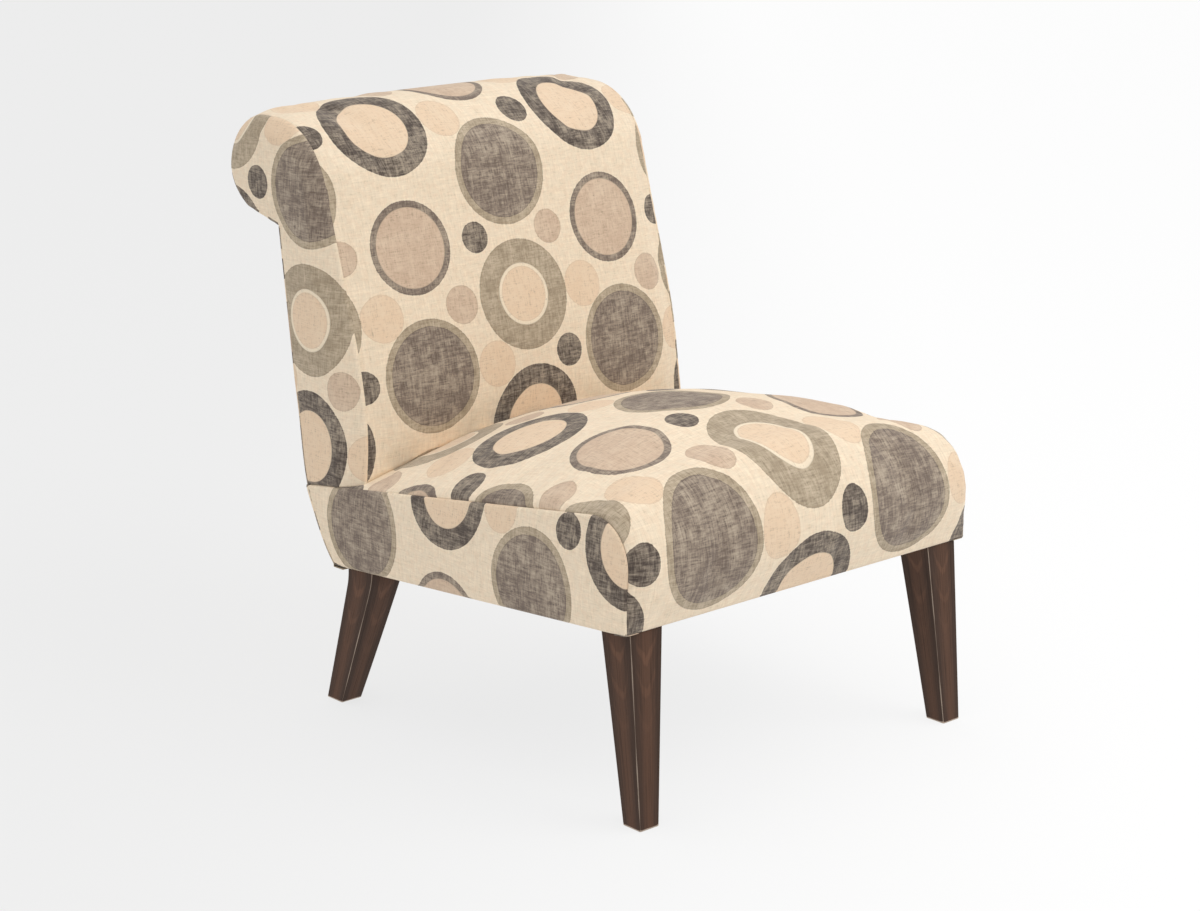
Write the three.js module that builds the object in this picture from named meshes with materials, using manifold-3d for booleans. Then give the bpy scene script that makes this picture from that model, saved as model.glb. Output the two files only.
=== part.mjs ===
// Slipper chair: an armless upholstered chair with a rolled back, on four tapered legs.
// Inside are a hardwood seat frame with zigzag springs, two sawn back posts with webbing,
// and foam under sewn fabric panels.
// Millimetres, +Z up. X runs across the chair and -Y is its front. The origin is on the floor
// below the middle of the whole chair.
import * as THREE from "three";
import { mergeVertices } from "three/addons/utils/BufferGeometryUtils.js";
import Module from "manifold-3d";

const wasm = await Module();
wasm.setup();

// Outline of the covered seat, seen from the side. Y starts at the foremost point of the side seam.
const WIDTH = 572;
const FRONT_UNDERSIDE = 240;
const REAR_UNDERSIDE = 192.4;
const FRONT_HEM_SETBACK = 3;
const REAR_CORNER = 559.5;
const NOSE_RADIUS = 71;
const NOSE_TOP = 371.5;
const SEAT_RUN = 490;
const SEAT_FALL = 70;

// Outline of the covered back, seen from the side
const BACK_FRONT = 508.5;
const BACK_UPRIGHT_HEIGHT = 319;
const BACK_FRONT_RADIUS = 650;
const BACK_LEAN = THREE.MathUtils.degToRad(16.5);
const SHOULDER_RADIUS = 90;
const BACK_TOP = 761.5;
const ROLL_RADIUS = 62.5;
const ROLL_CENTRE = 717.5;
const ROLL_TURN = THREE.MathUtils.degToRad(170);
const NECK = 671.5;
const REAR_STRAIGHT_START = 649.5;
const REAR_STRAIGHT_HEIGHT = 451;
const HEEL_HANDLE = 60;
const HEEL_ANGLE = THREE.MathUtils.degToRad(43.6);
const REAR_HANDLE = 130;

// How the padding swells and how the panels are drawn in at their seams
const SEAT_CROWN = 70;
const SEAT_EDGE_RISE = 12;
const SEAT_EDGE_WIDTH = 6;
const BACK_CROWN = 10;
const BACK_EDGE_RISE = 9;
const BACK_EDGE_WIDTH = 12;
const SIDE_ROUNDING = 20;
const SEAM_ANGLE = THREE.MathUtils.degToRad(20);
const seatCrownShares = [[0, 0], [0.09, 0.14], [0.18, 0.32], [0.27, 0.54], [0.42, 0.92],
  [0.58, 1], [0.74, 0.92], [0.88, 0.7], [1, 0.5]];
const seatEdgeShares = [[0, 0], [0.09, 1], [0.65, 1], [0.88, 0.1], [1, 0]];
const backCrownShares = [[0, 1], [0.3, 1], [0.5, 0.9], [0.65, 0.8], [0.8, 0.7], [0.95, 0.25], [1, 0]];
const backEdgeShares = [[0, 0.2], [0.4, 0.1], [0.55, 0.35], [0.7, 1], [0.85, 0.8], [0.95, 0.25], [1, 0]];

// Materials as they come off the roll or the saw
const FABRIC = 1.5;
const GAP = 0.3;
const OVERRUN = 5;
const DUST_CLOTH = 0.8;
const INSULATOR = 3;
const WEBBING = 2;
const SCROLL_BOARD = 3;
const RAIL_THICKNESS = 22;
const RAIL_HEIGHT = 75;
const RAIL_INSET = 7;
const BACK_RAIL_SETBACK = 6;
const POST_THICKNESS = 25;
const POST_FOOT = 55;
const BACK_FOAM = 60;
const ROLL_FOAM = 17;
const backFoamShares = [[0, 1], [0.35, 0.85], [0.5, 0.3], [0.6, 0.06], [0.7, 0], [1, 0]];

// Zigzag springs and their clips
const SPRING_COUNT = 4;
const SPRING_SPACING = 110;
const SPRING_WIDTH = 50;
const SPRING_BAR_SPACING = 26;
const WIRE_RADIUS = 1.9;
const SPRING_ARCH = 28;
const DECK_CLEARANCE = 1;
const CLIP_STEEL = 1.2;
const CLIP_WIDTH = 18;
const CLIP_TAIL = 9;
const TIE_WIRE_RADIUS = 1.5;
const TIE_WIRE_REACH = 8;

// Legs, and what fastens them
const LEG_TOP = 50.8;
const LEG_FOOT = 30.1;
const LEG_INSET = 4.7;
const LEG_EDGE = 1.6;
const FRONT_LEG_SPLAY = 18.5;
const REAR_LEG_SPLAY = 53.2;
const REAR_LEG_FROM_CORNER = 13;
const REAR_LEG_BEND_LENGTH = 26;
const BOLT_RADIUS = 4;
const BOLT_IN_LEG = 30;
const BOLT_POINT = 6;
const TNUT_FROM_RAIL = 0.5;
const BLOCK_SIDE = 78;
const BLOCK_HEIGHT = 44;
const BLOCK_HOLE_RADIUS = 6;
const TNUT_BARREL_RADIUS = 5.5;
const TNUT_BARREL = 12;
const TNUT_FLANGE_RADIUS = 11;
const TNUT_FLANGE = 1.6;
const GLIDE_RADIUS = 11;
const GLIDE_HEIGHT = 2.5;
const GLIDE_EDGE = 0.8;
const GLIDE_PIN_RADIUS = 1.5;
const GLIDE_PIN = 14;

// Rails between the back posts
const TACK_RAIL_BOTTOM = 325;
const TACK_RAIL_HEIGHT = 60;
const TOP_RAIL_BELOW_TOP = 46;
const TOP_RAIL_HEIGHT = 70;
const TOP_RAIL_BEHIND_NECK = 1.5;

const HALF = WIDTH / 2;
const INSIDE = HALF - FABRIC - GAP;
const ROUNDING_CENTRE = HALF - SIDE_ROUNDING;
const ROUNDING_DEPTH = SIDE_ROUNDING * Math.cos(SEAM_ANGLE);
const SEAM_HALF = ROUNDING_CENTRE + SIDE_ROUNDING * Math.sin(SEAM_ANGLE);
const PANEL_HALF = SEAM_HALF - FABRIC / 2 - GAP;
const deckEdgeShare = 0.8;
const rightShares = [0.3, 0.58, deckEdgeShare, 0.93, 0.985, 1];
const acrossShares = [...rightShares.map((share) => -share).reverse(), 0, ...rightShares];
const roundingAngles = [SEAM_ANGLE, ...[42, 62, 90].map(THREE.MathUtils.degToRad)];

// Finishes
const finish = (color, roughness, metalness = 0) =>
  new THREE.MeshStandardMaterial({ color, roughness, metalness });
const PRINTED_LINEN = finish(0xdccbb0, 0.95);
const DUST_BLACK = finish(0x1d1c1b, 0.95);
const FOAM = finish(0xe9dfb8, 0.9);
const FELT = finish(0x8b857b, 1);
const JUTE = finish(0xb7935f, 0.95);
const CARDBOARD = finish(0xb08d62, 0.9);
const RAW_WOOD = finish(0xc9a877, 0.75);
const STAINED_WOOD = finish(0x3d2a20, 0.45);
const SPRING_STEEL = finish(0x77797c, 0.4, 1);
const ZINC = finish(0xb9bcc0, 0.35, 1);
const BLACK_PLASTIC = finish(0x232120, 0.6);

const model = new THREE.Group();

function add(name, geometry, material, parent = model) {
  const mesh = new THREE.Mesh(geometry, material);
  mesh.name = name;
  parent.add(mesh);
  return mesh;
}

// Table lookup with a smooth cubic between its rows
function lookup(table, share) {
  const last = table.length - 1;
  const s = THREE.MathUtils.clamp(share, table[0][0], table[last][0]);
  let i = 0;
  while (i < last - 1 && s > table[i + 1][0]) {
    i += 1;
  }
  const slope = (k) => {
    const a = Math.max(k - 1, 0);
    const b = Math.min(k + 1, last);
    return (table[b][1] - table[a][1]) / (table[b][0] - table[a][0]);
  };
  const width = table[i + 1][0] - table[i][0];
  const t = (s - table[i][0]) / width;
  const blend = t * t * (3 - 2 * t);
  const bulge = t * (1 - t);
  return table[i][1] * (1 - blend) + table[i + 1][1] * blend
    + bulge * width * (slope(i) * (1 - t) - slope(i + 1) * t);
}

// Closed bodies

// A closed body from points and triangles, turned so that its faces point out
function closedBody(points, triangles) {
  let volume = 0;
  for (const [a, b, c] of triangles) {
    volume += points[a].dot(new THREE.Vector3().crossVectors(points[b], points[c]));
  }
  const outward = volume < 0 ? triangles.map(([a, b, c]) => [a, c, b]) : triangles;
  const geometry = new THREE.BufferGeometry();
  const positions = points.flatMap((p) => [p.x, p.y, p.z]);
  geometry.setAttribute("position", new THREE.Float32BufferAttribute(positions, 3));
  geometry.setIndex(outward.flat());
  geometry.computeVertexNormals();
  return geometry;
}

// A sheet or pad between two layers of points that share their triangles, closed round their rim
function layered(outer, inner, triangles, rim) {
  const n = outer.length;
  const faces = [...triangles];
  for (const [a, b, c] of triangles) {
    faces.push([a + n, c + n, b + n]);
  }
  rim.forEach((a, k) => {
    const b = rim[(k + 1) % rim.length];
    faces.push([b, a, a + n], [b, a + n, b + n]);
  });
  return closedBody([...outer, ...inner], faces);
}

// The same for two grids of rows and columns
function gridBody(outer, inner) {
  const rows = outer.length;
  const columns = outer[0].length;
  const at = (i, j) => i * columns + j;
  const triangles = [];
  for (let i = 0; i < rows - 1; i += 1) {
    for (let j = 0; j < columns - 1; j += 1) {
      triangles.push([at(i, j), at(i, j + 1), at(i + 1, j + 1)]);
      triangles.push([at(i, j), at(i + 1, j + 1), at(i + 1, j)]);
    }
  }
  const rim = [];
  for (let j = 0; j < columns - 1; j += 1) {
    rim.push(at(0, j));
  }
  for (let i = 0; i < rows - 1; i += 1) {
    rim.push(at(i, columns - 1));
  }
  for (let j = columns - 1; j > 0; j -= 1) {
    rim.push(at(rows - 1, j));
  }
  for (let i = rows - 1; i > 0; i -= 1) {
    rim.push(at(i, 0));
  }
  return layered(outer.flat(), inner.flat(), triangles, rim);
}

// Triangles of a flat sheet between two chains of points. Each goes on along the chain whose next
// point is the nearer one.
function rungs(points, left, right) {
  const triangles = [];
  const last = [left.length - 1, right.length - 1];
  let i = 0;
  let j = 0;
  while (i < last[0] || j < last[1]) {
    const overLeft = i < last[0] ? points[left[i + 1]].distanceTo(points[right[j]]) : Infinity;
    const overRight = j < last[1] ? points[left[i]].distanceTo(points[right[j + 1]]) : Infinity;
    if (overLeft < overRight) {
      triangles.push([left[i], left[i + 1], right[j]]);
      i += 1;
    } else {
      triangles.push([left[i], right[j + 1], right[j]]);
      j += 1;
    }
  }
  return triangles;
}

// A shape drawn in Y and Z, given its thickness along X from one X to another
function sideways(outline, fromX, toX, holes = []) {
  const shape = new THREE.Shape(outline);
  shape.holes = holes;
  const settings = { depth: toX - fromX, bevelEnabled: false, curveSegments: 12 };
  const geometry = new THREE.ExtrudeGeometry(shape, settings);
  const axes = new THREE.Matrix4().makeBasis(
    new THREE.Vector3(0, 1, 0), new THREE.Vector3(0, 0, 1), new THREE.Vector3(1, 0, 0));
  geometry.applyMatrix4(axes);
  return geometry.translate(fromX, 0, 0);
}

// A round bar along points, with a polygon of the given number of sides
function wire(points, radius, sides) {
  const rings = [];
  const up = new THREE.Vector3(0, 0, 1);
  points.forEach((p, k) => {
    const before = points[Math.max(k - 1, 0)];
    const after = points[Math.min(k + 1, points.length - 1)];
    const along = after.clone().sub(before).normalize();
    const across = new THREE.Vector3().crossVectors(along, up).normalize();
    const over = new THREE.Vector3().crossVectors(across, along);
    const ring = [];
    for (let s = 0; s < sides; s += 1) {
      const angle = (s / sides) * 2 * Math.PI;
      ring.push(p.clone().addScaledVector(across, radius * Math.cos(angle))
        .addScaledVector(over, radius * Math.sin(angle)));
    }
    rings.push(ring);
  });
  return lofted(rings);
}

// Rings of points joined one after the other, with both ends closed
function lofted(rings) {
  const sides = rings[0].length;
  const last = (rings.length - 1) * sides;
  const triangles = [];
  for (let k = 0; k < last; k += sides) {
    for (let s = 0; s < sides; s += 1) {
      const t = (s + 1) % sides;
      triangles.push([k + s, k + t, k + sides + t], [k + s, k + sides + t, k + sides + s]);
    }
  }
  for (let s = 1; s < sides - 1; s += 1) {
    triangles.push([0, s + 1, s], [last, last + s, last + s + 1]);
  }
  return closedBody(rings.flat(), triangles);
}

// A turned part about +Z from a profile of radius and height
function turned(profile, segments) {
  const geometry = new THREE.LatheGeometry(profile.map(([r, z]) => new THREE.Vector2(r, z)), segments);
  return geometry.rotateX(Math.PI / 2);
}

function toSolid(geometry) {
  const bare = geometry.clone();
  bare.deleteAttribute("normal");
  bare.deleteAttribute("uv");
  const merged = mergeVertices(bare);
  const solid = new wasm.Mesh({
    numProp: 3,
    vertProperties: new Float32Array(merged.attributes.position.array),
    triVerts: new Uint32Array(merged.index.array),
  });
  return new wasm.Manifold(solid);
}

function toGeometry(solid) {
  const mesh = solid.getMesh();
  const geometry = new THREE.BufferGeometry();
  geometry.setAttribute("position", new THREE.BufferAttribute(mesh.vertProperties, 3));
  geometry.setIndex(new THREE.BufferAttribute(mesh.triVerts, 1));
  geometry.computeVertexNormals();
  return geometry;
}

const cut = (body, ...tools) =>
  toGeometry(tools.reduce((solid, tool) => solid.subtract(toSolid(tool)), toSolid(body)));

// A drill along +Z, standing on the given height
function drill(radius, x, y, bottom, top) {
  const segments = 16;
  return new THREE.CylinderGeometry(radius, radius, top - bottom, segments)
    .rotateX(Math.PI / 2)
    .translate(x, y, (top + bottom) / 2);
}

// Side outlines. Each station has its point p, its outward direction n, and its share of the way.

function arcStations(centre, radius, from, to, steps) {
  const stations = [];
  for (let k = 0; k <= steps; k += 1) {
    const angle = THREE.MathUtils.lerp(from, to, k / steps);
    const n = new THREE.Vector2(Math.cos(angle), Math.sin(angle));
    stations.push({ p: centre.clone().addScaledVector(n, radius), n });
  }
  return stations;
}

function lineStations(start, end, steps) {
  const along = end.clone().sub(start).normalize();
  const n = new THREE.Vector2(-along.y, along.x);
  const stations = [];
  for (let k = 0; k <= steps; k += 1) {
    stations.push({ p: start.clone().lerp(end, k / steps), n });
  }
  return stations;
}

// Shares run to 1 at the last station, and are measured back from it over the given length
function withShares(stations, length = 0) {
  let travelled = 0;
  stations.forEach((station, k) => {
    travelled += k === 0 ? 0 : station.p.distanceTo(stations[k - 1].p);
    station.travelled = travelled;
  });
  stations.forEach((station) => {
    station.share = 1 - (travelled - station.travelled) / (length || travelled);
  });
  return stations;
}

const inward = (station, depth) => station.p.clone().addScaledVector(station.n, -depth);

// The seat's side seam: up the front, round the nose and down the sloping top
const seatPitch = Math.atan2(SEAT_FALL, SEAT_RUN);
const noseCentre = new THREE.Vector2(NOSE_RADIUS, NOSE_TOP - NOSE_RADIUS);
const frontBottom = new THREE.Vector2(FRONT_HEM_SETBACK, FRONT_UNDERSIDE);
const noseEnd = noseCentre.clone().add(
  new THREE.Vector2(Math.sin(seatPitch), Math.cos(seatPitch)).multiplyScalar(NOSE_RADIUS));
const seatLine = (y) => noseEnd.y - (y - noseEnd.x) * Math.tan(seatPitch);

// Where the seat's top panel ends, under the back cushion
const SEAT_PANEL_END = BACK_FRONT + BACK_FOAM - RAIL_INSET;
const seatStations = withShares([
  ...lineStations(frontBottom, noseCentre.clone().setX(0), 2).slice(0, -1),
  ...arcStations(noseCentre, NOSE_RADIUS, Math.PI, Math.PI / 2 - seatPitch, 8).slice(0, -1),
  ...lineStations(noseEnd, new THREE.Vector2(SEAT_PANEL_END, seatLine(SEAT_PANEL_END)), 8),
]);

// How far the seat's top panel stands above its side seam
function seatRise(share, x) {
  const fromEdge = INSIDE - Math.abs(x);
  const edge = SEAT_EDGE_RISE * (1 - Math.exp(-fromEdge / SEAT_EDGE_WIDTH));
  const crown = SEAT_CROWN * (1 - (x / INSIDE) ** 2);
  return edge * lookup(seatEdgeShares, share) + crown * lookup(seatCrownShares, share);
}

function seatPoint(station, x, depth = 0) {
  const q = inward(station, depth - seatRise(station.share, x));
  return new THREE.Vector3(x, q.x, q.y);
}

// Height of the seat's top panel at a place
function seatTop(x, y) {
  const beyond = Math.abs(x) > INSIDE;
  if (beyond) {
    return seatLine(y);
  }
  const row = seatStations.map((station) => seatPoint(station, x));
  let k = row.length - 2;
  while (k > 0 && row[k].y > y) {
    k -= 1;
  }
  const t = (y - row[k].y) / (row[k + 1].y - row[k].y);
  return THREE.MathUtils.lerp(row[k].z, row[k + 1].z, t);
}

// The back's front seam: up the leaning front, over the shoulder and round the roll to the neck
const leanCentre = new THREE.Vector2(BACK_FRONT + BACK_FRONT_RADIUS, BACK_UPRIGHT_HEIGHT);
const leanNormal = new THREE.Vector2(-Math.cos(BACK_LEAN), Math.sin(BACK_LEAN));
const leanStart = leanCentre.clone().addScaledVector(leanNormal, BACK_FRONT_RADIUS);
const leanTop = BACK_TOP - SHOULDER_RADIUS * (1 - Math.sin(BACK_LEAN));
const leanEnd = new THREE.Vector2(leanStart.x + (leanTop - leanStart.y) * Math.tan(BACK_LEAN), leanTop);
const shoulderCentre = leanEnd.clone().addScaledVector(leanNormal, -SHOULDER_RADIUS);
const rollCentre = new THREE.Vector2(ROLL_CENTRE, BACK_TOP - ROLL_RADIUS);
const rollEndAngle = Math.PI / 2 - ROLL_TURN;
const rollEnd = rollCentre.clone().add(
  new THREE.Vector2(Math.cos(rollEndAngle), Math.sin(rollEndAngle)).multiplyScalar(ROLL_RADIUS));
const neckPoint = new THREE.Vector2(
  NECK, rollEnd.y + (rollEnd.x - NECK) * Math.cos(rollEndAngle) / Math.sin(rollEndAngle));
const BEND_STEPS = 5;
const LEAN_STEPS = 3;
const FRONT_STEPS = BEND_STEPS + LEAN_STEPS;
const SHOULDER_STEPS = 5;

// The front of the back is upright up to a height and then bends into its lean
function frontAt(height) {
  const angle = Math.asin(Math.max(height - BACK_UPRIGHT_HEIGHT, 0) / BACK_FRONT_RADIUS);
  const n = new THREE.Vector2(-Math.cos(angle), Math.sin(angle));
  return { p: new THREE.Vector2(leanCentre.x - BACK_FRONT_RADIUS * Math.cos(angle), height), n };
}

// Stations from the given height on the front to the neck
function backPath(bottom) {
  const bend = Array.from({ length: BEND_STEPS }, (_, k) =>
    frontAt(THREE.MathUtils.lerp(bottom, leanStart.y, k / BEND_STEPS)));
  return [
    ...bend,
    ...lineStations(leanStart, leanEnd, LEAN_STEPS).slice(0, -1),
    ...arcStations(shoulderCentre, SHOULDER_RADIUS, Math.PI - BACK_LEAN, Math.PI / 2, SHOULDER_STEPS)
      .slice(0, -1),
    ...arcStations(rollCentre, ROLL_RADIUS, Math.PI / 2, rollEndAngle, 9).slice(0, -1),
    ...lineStations(rollEnd, neckPoint.clone().lerp(rollEnd, GAP / ROLL_RADIUS), 2),
  ];
}
const seamStations = withShares(backPath(seatLine(BACK_FRONT)));
const seamLength = seamStations[seamStations.length - 1].travelled;

function backRise(share, x) {
  const fromEdge = Math.max(PANEL_HALF - Math.abs(x), 0);
  const edge = BACK_EDGE_RISE * (1 - Math.exp(-fromEdge / BACK_EDGE_WIDTH));
  const crown = BACK_CROWN * Math.max(1 - (x / PANEL_HALF) ** 2, 0);
  return edge * lookup(backEdgeShares, share) + crown * lookup(backCrownShares, share);
}

// Stations of the back at one place across, starting at a height above the seat
function backColumn(x, depth, lift) {
  const y = BACK_FRONT - backRise(0, x) + depth;
  return withShares(backPath(seatTop(x, y) + lift), seamLength);
}

function backPoint(station, x, depth = 0) {
  const q = inward(station, depth - backRise(station.share, x));
  return new THREE.Vector3(x, q.x, q.y);
}

// The rear outline, from the neck down to the heel at the underside
const heel = new THREE.Vector2(REAR_CORNER, REAR_UNDERSIDE);
const rearStraight = new THREE.Vector2(REAR_STRAIGHT_START, REAR_STRAIGHT_HEIGHT);
const rearDirection = neckPoint.clone().sub(rearStraight).normalize();
const rearCurve = new THREE.CubicBezierCurve(
  rearStraight,
  rearStraight.clone().addScaledVector(rearDirection, -REAR_HANDLE),
  heel.clone().add(new THREE.Vector2(Math.cos(HEEL_ANGLE), Math.sin(HEEL_ANGLE)).multiplyScalar(HEEL_HANDLE)),
  heel);
const REAR_STEPS = 8;
const rearPoints = [neckPoint.clone(), ...rearCurve.getPoints(REAR_STEPS)];
const rearStations = withShares(rearPoints.map((p, k) => {
  const before = rearPoints[Math.max(k - 1, 0)];
  const after = rearPoints[Math.min(k + 1, rearPoints.length - 1)];
  const along = after.clone().sub(before).normalize();
  return { p, n: new THREE.Vector2(-along.y, along.x) };
}));

// Where a straight line through a point meets the rear outline, and the outline below that place
function rearBelow(lineHeight) {
  const below = rearPoints.filter((p) => p.y < lineHeight(p.x));
  const above = rearPoints[rearPoints.length - below.length - 1];
  const first = below[0];
  const over = above.y - lineHeight(above.x);
  const under = lineHeight(first.x) - first.y;
  return [above.clone().lerp(first, over / (over + under)), ...below];
}

// The seat frame stands in its own tilted axes: y back along the underside and z square to it
const tilt = Math.atan2(FRONT_UNDERSIDE - REAR_UNDERSIDE, REAR_CORNER - FRONT_HEM_SETBACK);
const underLayer = DUST_CLOTH + GAP;
const frame = new THREE.Group();
frame.rotation.x = -tilt;
frame.position.set(
  0,
  frontBottom.x + underLayer * Math.sin(tilt),
  frontBottom.y + underLayer * Math.cos(tilt));
model.add(frame);
frame.updateMatrixWorld(true);
const fromFrame = (x, y, z) => new THREE.Vector3(x, y, z).applyMatrix4(frame.matrixWorld);
const inSide = (y, z) => {
  const p = fromFrame(0, y, z);
  return new THREE.Vector2(p.y, p.z);
};
const FRAME_DEPTH = Math.hypot(REAR_CORNER - FRONT_HEM_SETBACK, FRONT_UNDERSIDE - REAR_UNDERSIDE);
const FRONT_RAIL_BACK = RAIL_INSET + RAIL_THICKNESS;
const BACK_RAIL_END = FRAME_DEPTH - BACK_RAIL_SETBACK;
const BACK_RAIL_FRONT = BACK_RAIL_END - RAIL_THICKNESS;
const RAIL_INNER = INSIDE - RAIL_THICKNESS;

// Back posts: two sawn sides whose heads carry the roll
const supportLayer = GAP + SCROLL_BOARD + GAP;
const foamAt = (share) => ROLL_FOAM + (BACK_FOAM - ROLL_FOAM) * lookup(backFoamShares, share);
const postDepth = (share) => FABRIC + GAP + foamAt(share) + supportLayer;
const postFront = seamStations.slice(0, -1).map((station) => inward(station, postDepth(station.share)));
const postKnee = new THREE.Vector2(postFront[0].x, seatLine(postFront[0].x) - GAP);
const postFoot = inSide(FRAME_DEPTH - POST_FOOT, 0);
const postHeel = inSide(BACK_RAIL_END, 0);
const rearLayer = FABRIC + GAP;
const postRear = rearStations.map((station) => inward(station, rearLayer));

function postOutline() {
  const head = postFront[postFront.length - 1];
  const underHead = new THREE.Vector2(postRear[0].x, head.y - (head.x - postRear[0].x) * Math.tan(tilt));
  const rear = postRear.slice(1).filter((p) => p.x > postHeel.x && p.y > postHeel.y);
  return [postFoot, postKnee, ...postFront, underHead, ...rear, postHeel];
}

for (const [side, sign] of [["left", -1], ["right", 1]]) {
  const faces = [sign * INSIDE, sign * (INSIDE - POST_THICKNESS)].sort((a, b) => a - b);
  add(`back_post_${side}`, sideways(postOutline(), ...faces), RAW_WOOD);
}

const railHalf = INSIDE - POST_THICKNESS - GAP;
function backRail(name, y, z, height) {
  const box = new THREE.BoxGeometry(2 * railHalf, RAIL_THICKNESS, height);
  add(name, box, RAW_WOOD).position.set(0, y + RAIL_THICKNESS / 2, z + height / 2);
}

const tackRailTop = TACK_RAIL_BOTTOM + TACK_RAIL_HEIGHT;
const tackRailFront = postFront.find((p) => p.y > tackRailTop).x + GAP;
backRail("back_tack_rail", tackRailFront, TACK_RAIL_BOTTOM, TACK_RAIL_HEIGHT);
const topRailBottom = BACK_TOP - TOP_RAIL_BELOW_TOP - TOP_RAIL_HEIGHT;
backRail("back_top_rail", NECK + TOP_RAIL_BEHIND_NECK, topRailBottom, TOP_RAIL_HEIGHT);

// Seat rails
function plank(name, x0, x1, y0, y1, height) {
  const box = new THREE.BoxGeometry(x1 - x0, y1 - y0, height);
  add(name, box, RAW_WOOD, frame).position.set((x0 + x1) / 2, (y0 + y1) / 2, height / 2);
}

plank("seat_front_rail", -INSIDE, INSIDE, RAIL_INSET, FRONT_RAIL_BACK, RAIL_HEIGHT);
plank("seat_back_rail", -railHalf, railHalf, BACK_RAIL_FRONT, BACK_RAIL_END, RAIL_HEIGHT);

// The front of a post's foot is a sloping line. This gives its Y at a height, less a gap.
const postSlope = (postKnee.x - postFoot.x) / (postKnee.y - postFoot.y);
const beforePost = (z) => postFoot.x + postSlope * (z - postFoot.y) - GAP * Math.hypot(1, postSlope);

// What is cut away round a post where the deck and the seat's foam pass it
function postNotch(sign) {
  const bottom = postFoot.y - OVERRUN;
  const top = postKnee.y + OVERRUN;
  const behind = NECK + OVERRUN;
  const outline = [
    new THREE.Vector2(beforePost(bottom), bottom), new THREE.Vector2(behind, bottom),
    new THREE.Vector2(behind, top), new THREE.Vector2(beforePost(top), top)];
  const faces = [sign * railHalf, sign * (INSIDE + OVERRUN)].sort((a, b) => a - b);
  return sideways(outline, ...faces);
}

// A side rail runs from the front rail back to the post, and is cut to the post's slope
function sideRailOutline() {
  const railEnd = (height) => {
    const line = inSide(0, height);
    const fall = Math.tan(tilt);
    const z = (line.y + fall * (line.x - postFoot.x + postSlope * postFoot.y)) / (1 + fall * postSlope);
    return new THREE.Vector2(beforePost(z), z);
  };
  const front = FRONT_RAIL_BACK + GAP;
  return [inSide(front, 0), railEnd(0), railEnd(RAIL_HEIGHT), inSide(front, RAIL_HEIGHT)];
}

for (const [side, sign] of [["left", -1], ["right", 1]]) {
  const faces = [sign * INSIDE, sign * RAIL_INNER].sort((a, b) => a - b);
  add(`seat_side_rail_${side}`, sideways(sideRailOutline(), ...faces), RAW_WOOD);
}

// Legs. A corner of the chair is its side, -1 or 1, and its end, -1 at the front and 1 at the rear.
const corners = [
  ["front_left", -1, -1], ["front_right", 1, -1], ["rear_left", -1, 1], ["rear_right", 1, 1]];
const LEG_OUTER = HALF - LEG_INSET;
const legTopMiddle = {
  x: LEG_OUTER - LEG_TOP / 2,
  front: LEG_INSET + LEG_TOP / 2,
  rear: REAR_CORNER - REAR_LEG_FROM_CORNER - LEG_TOP / 2,
};
const cornerMiddle = (end) => (end < 0 ? legTopMiddle.front : legTopMiddle.rear);
const legTopAt = (y) => FRONT_UNDERSIDE - (y - FRONT_HEM_SETBACK) * Math.tan(tilt) - GAP;
const legHeight = (end) => legTopAt(cornerMiddle(end)) - GLIDE_HEIGHT - GAP;
const bendShares = [1, 0.75, 0.5, 0.25];

// Y of a leg's middle at a depth below its top. A front leg is straight. A rear leg starts
// upright, bends over a short way and then runs straight to the rear.
function legMiddle(end, depth) {
  const splay = end < 0 ? FRONT_LEG_SPLAY : REAR_LEG_SPLAY;
  const bend = end < 0 ? 0 : REAR_LEG_BEND_LENGTH;
  const travel = end * (LEG_TOP / 2 + splay - LEG_FOOT / 2);
  const ease = (d) => (d < bend ? d * d / (2 * bend) : d - bend / 2);
  return cornerMiddle(end) + travel * ease(depth) / ease(legHeight(end));
}

function legBody(side, end) {
  const height = legHeight(end);
  const bends = end < 0 ? [] : bendShares.map((share) => share * REAR_LEG_BEND_LENGTH);
  const rings = [height, ...bends, 0].map((depth) => {
    const half = THREE.MathUtils.lerp(LEG_TOP, LEG_FOOT, depth / height) / 2;
    const flat = half - LEG_EDGE;
    const ring = [
      [-half, -flat], [-flat, -half], [flat, -half], [half, -flat],
      [half, flat], [flat, half], [-flat, half], [-half, flat]];
    return ring.map(([dx, dy]) => {
      const y = legMiddle(end, depth) + dy;
      const z = THREE.MathUtils.lerp(legTopAt(y), GLIDE_HEIGHT + GAP, depth / height);
      return new THREE.Vector3(side * (LEG_OUTER - half) + dx, y, z);
    });
  });
  return lofted(rings);
}

// In the frame's axes, the two walls that a corner block stands against, and where its bolt stands
const blockWalls = (side, end) => (end < 0
  ? [side * (RAIL_INNER - GAP), FRONT_RAIL_BACK + GAP]
  : [side * (INSIDE - POST_THICKNESS - GAP), BACK_RAIL_FRONT - GAP]);
function boltPlace(side, end) {
  const [wallX, wallY] = blockWalls(side, end);
  const away = TNUT_FLANGE_RADIUS + TNUT_FROM_RAIL;
  return [wallX - side * away, wallY - end * away];
}

const blockTop = BLOCK_HEIGHT;
const boltBottom = -underLayer - GAP - BOLT_IN_LEG;
const boltTop = blockTop + GAP + TNUT_FLANGE;

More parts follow.
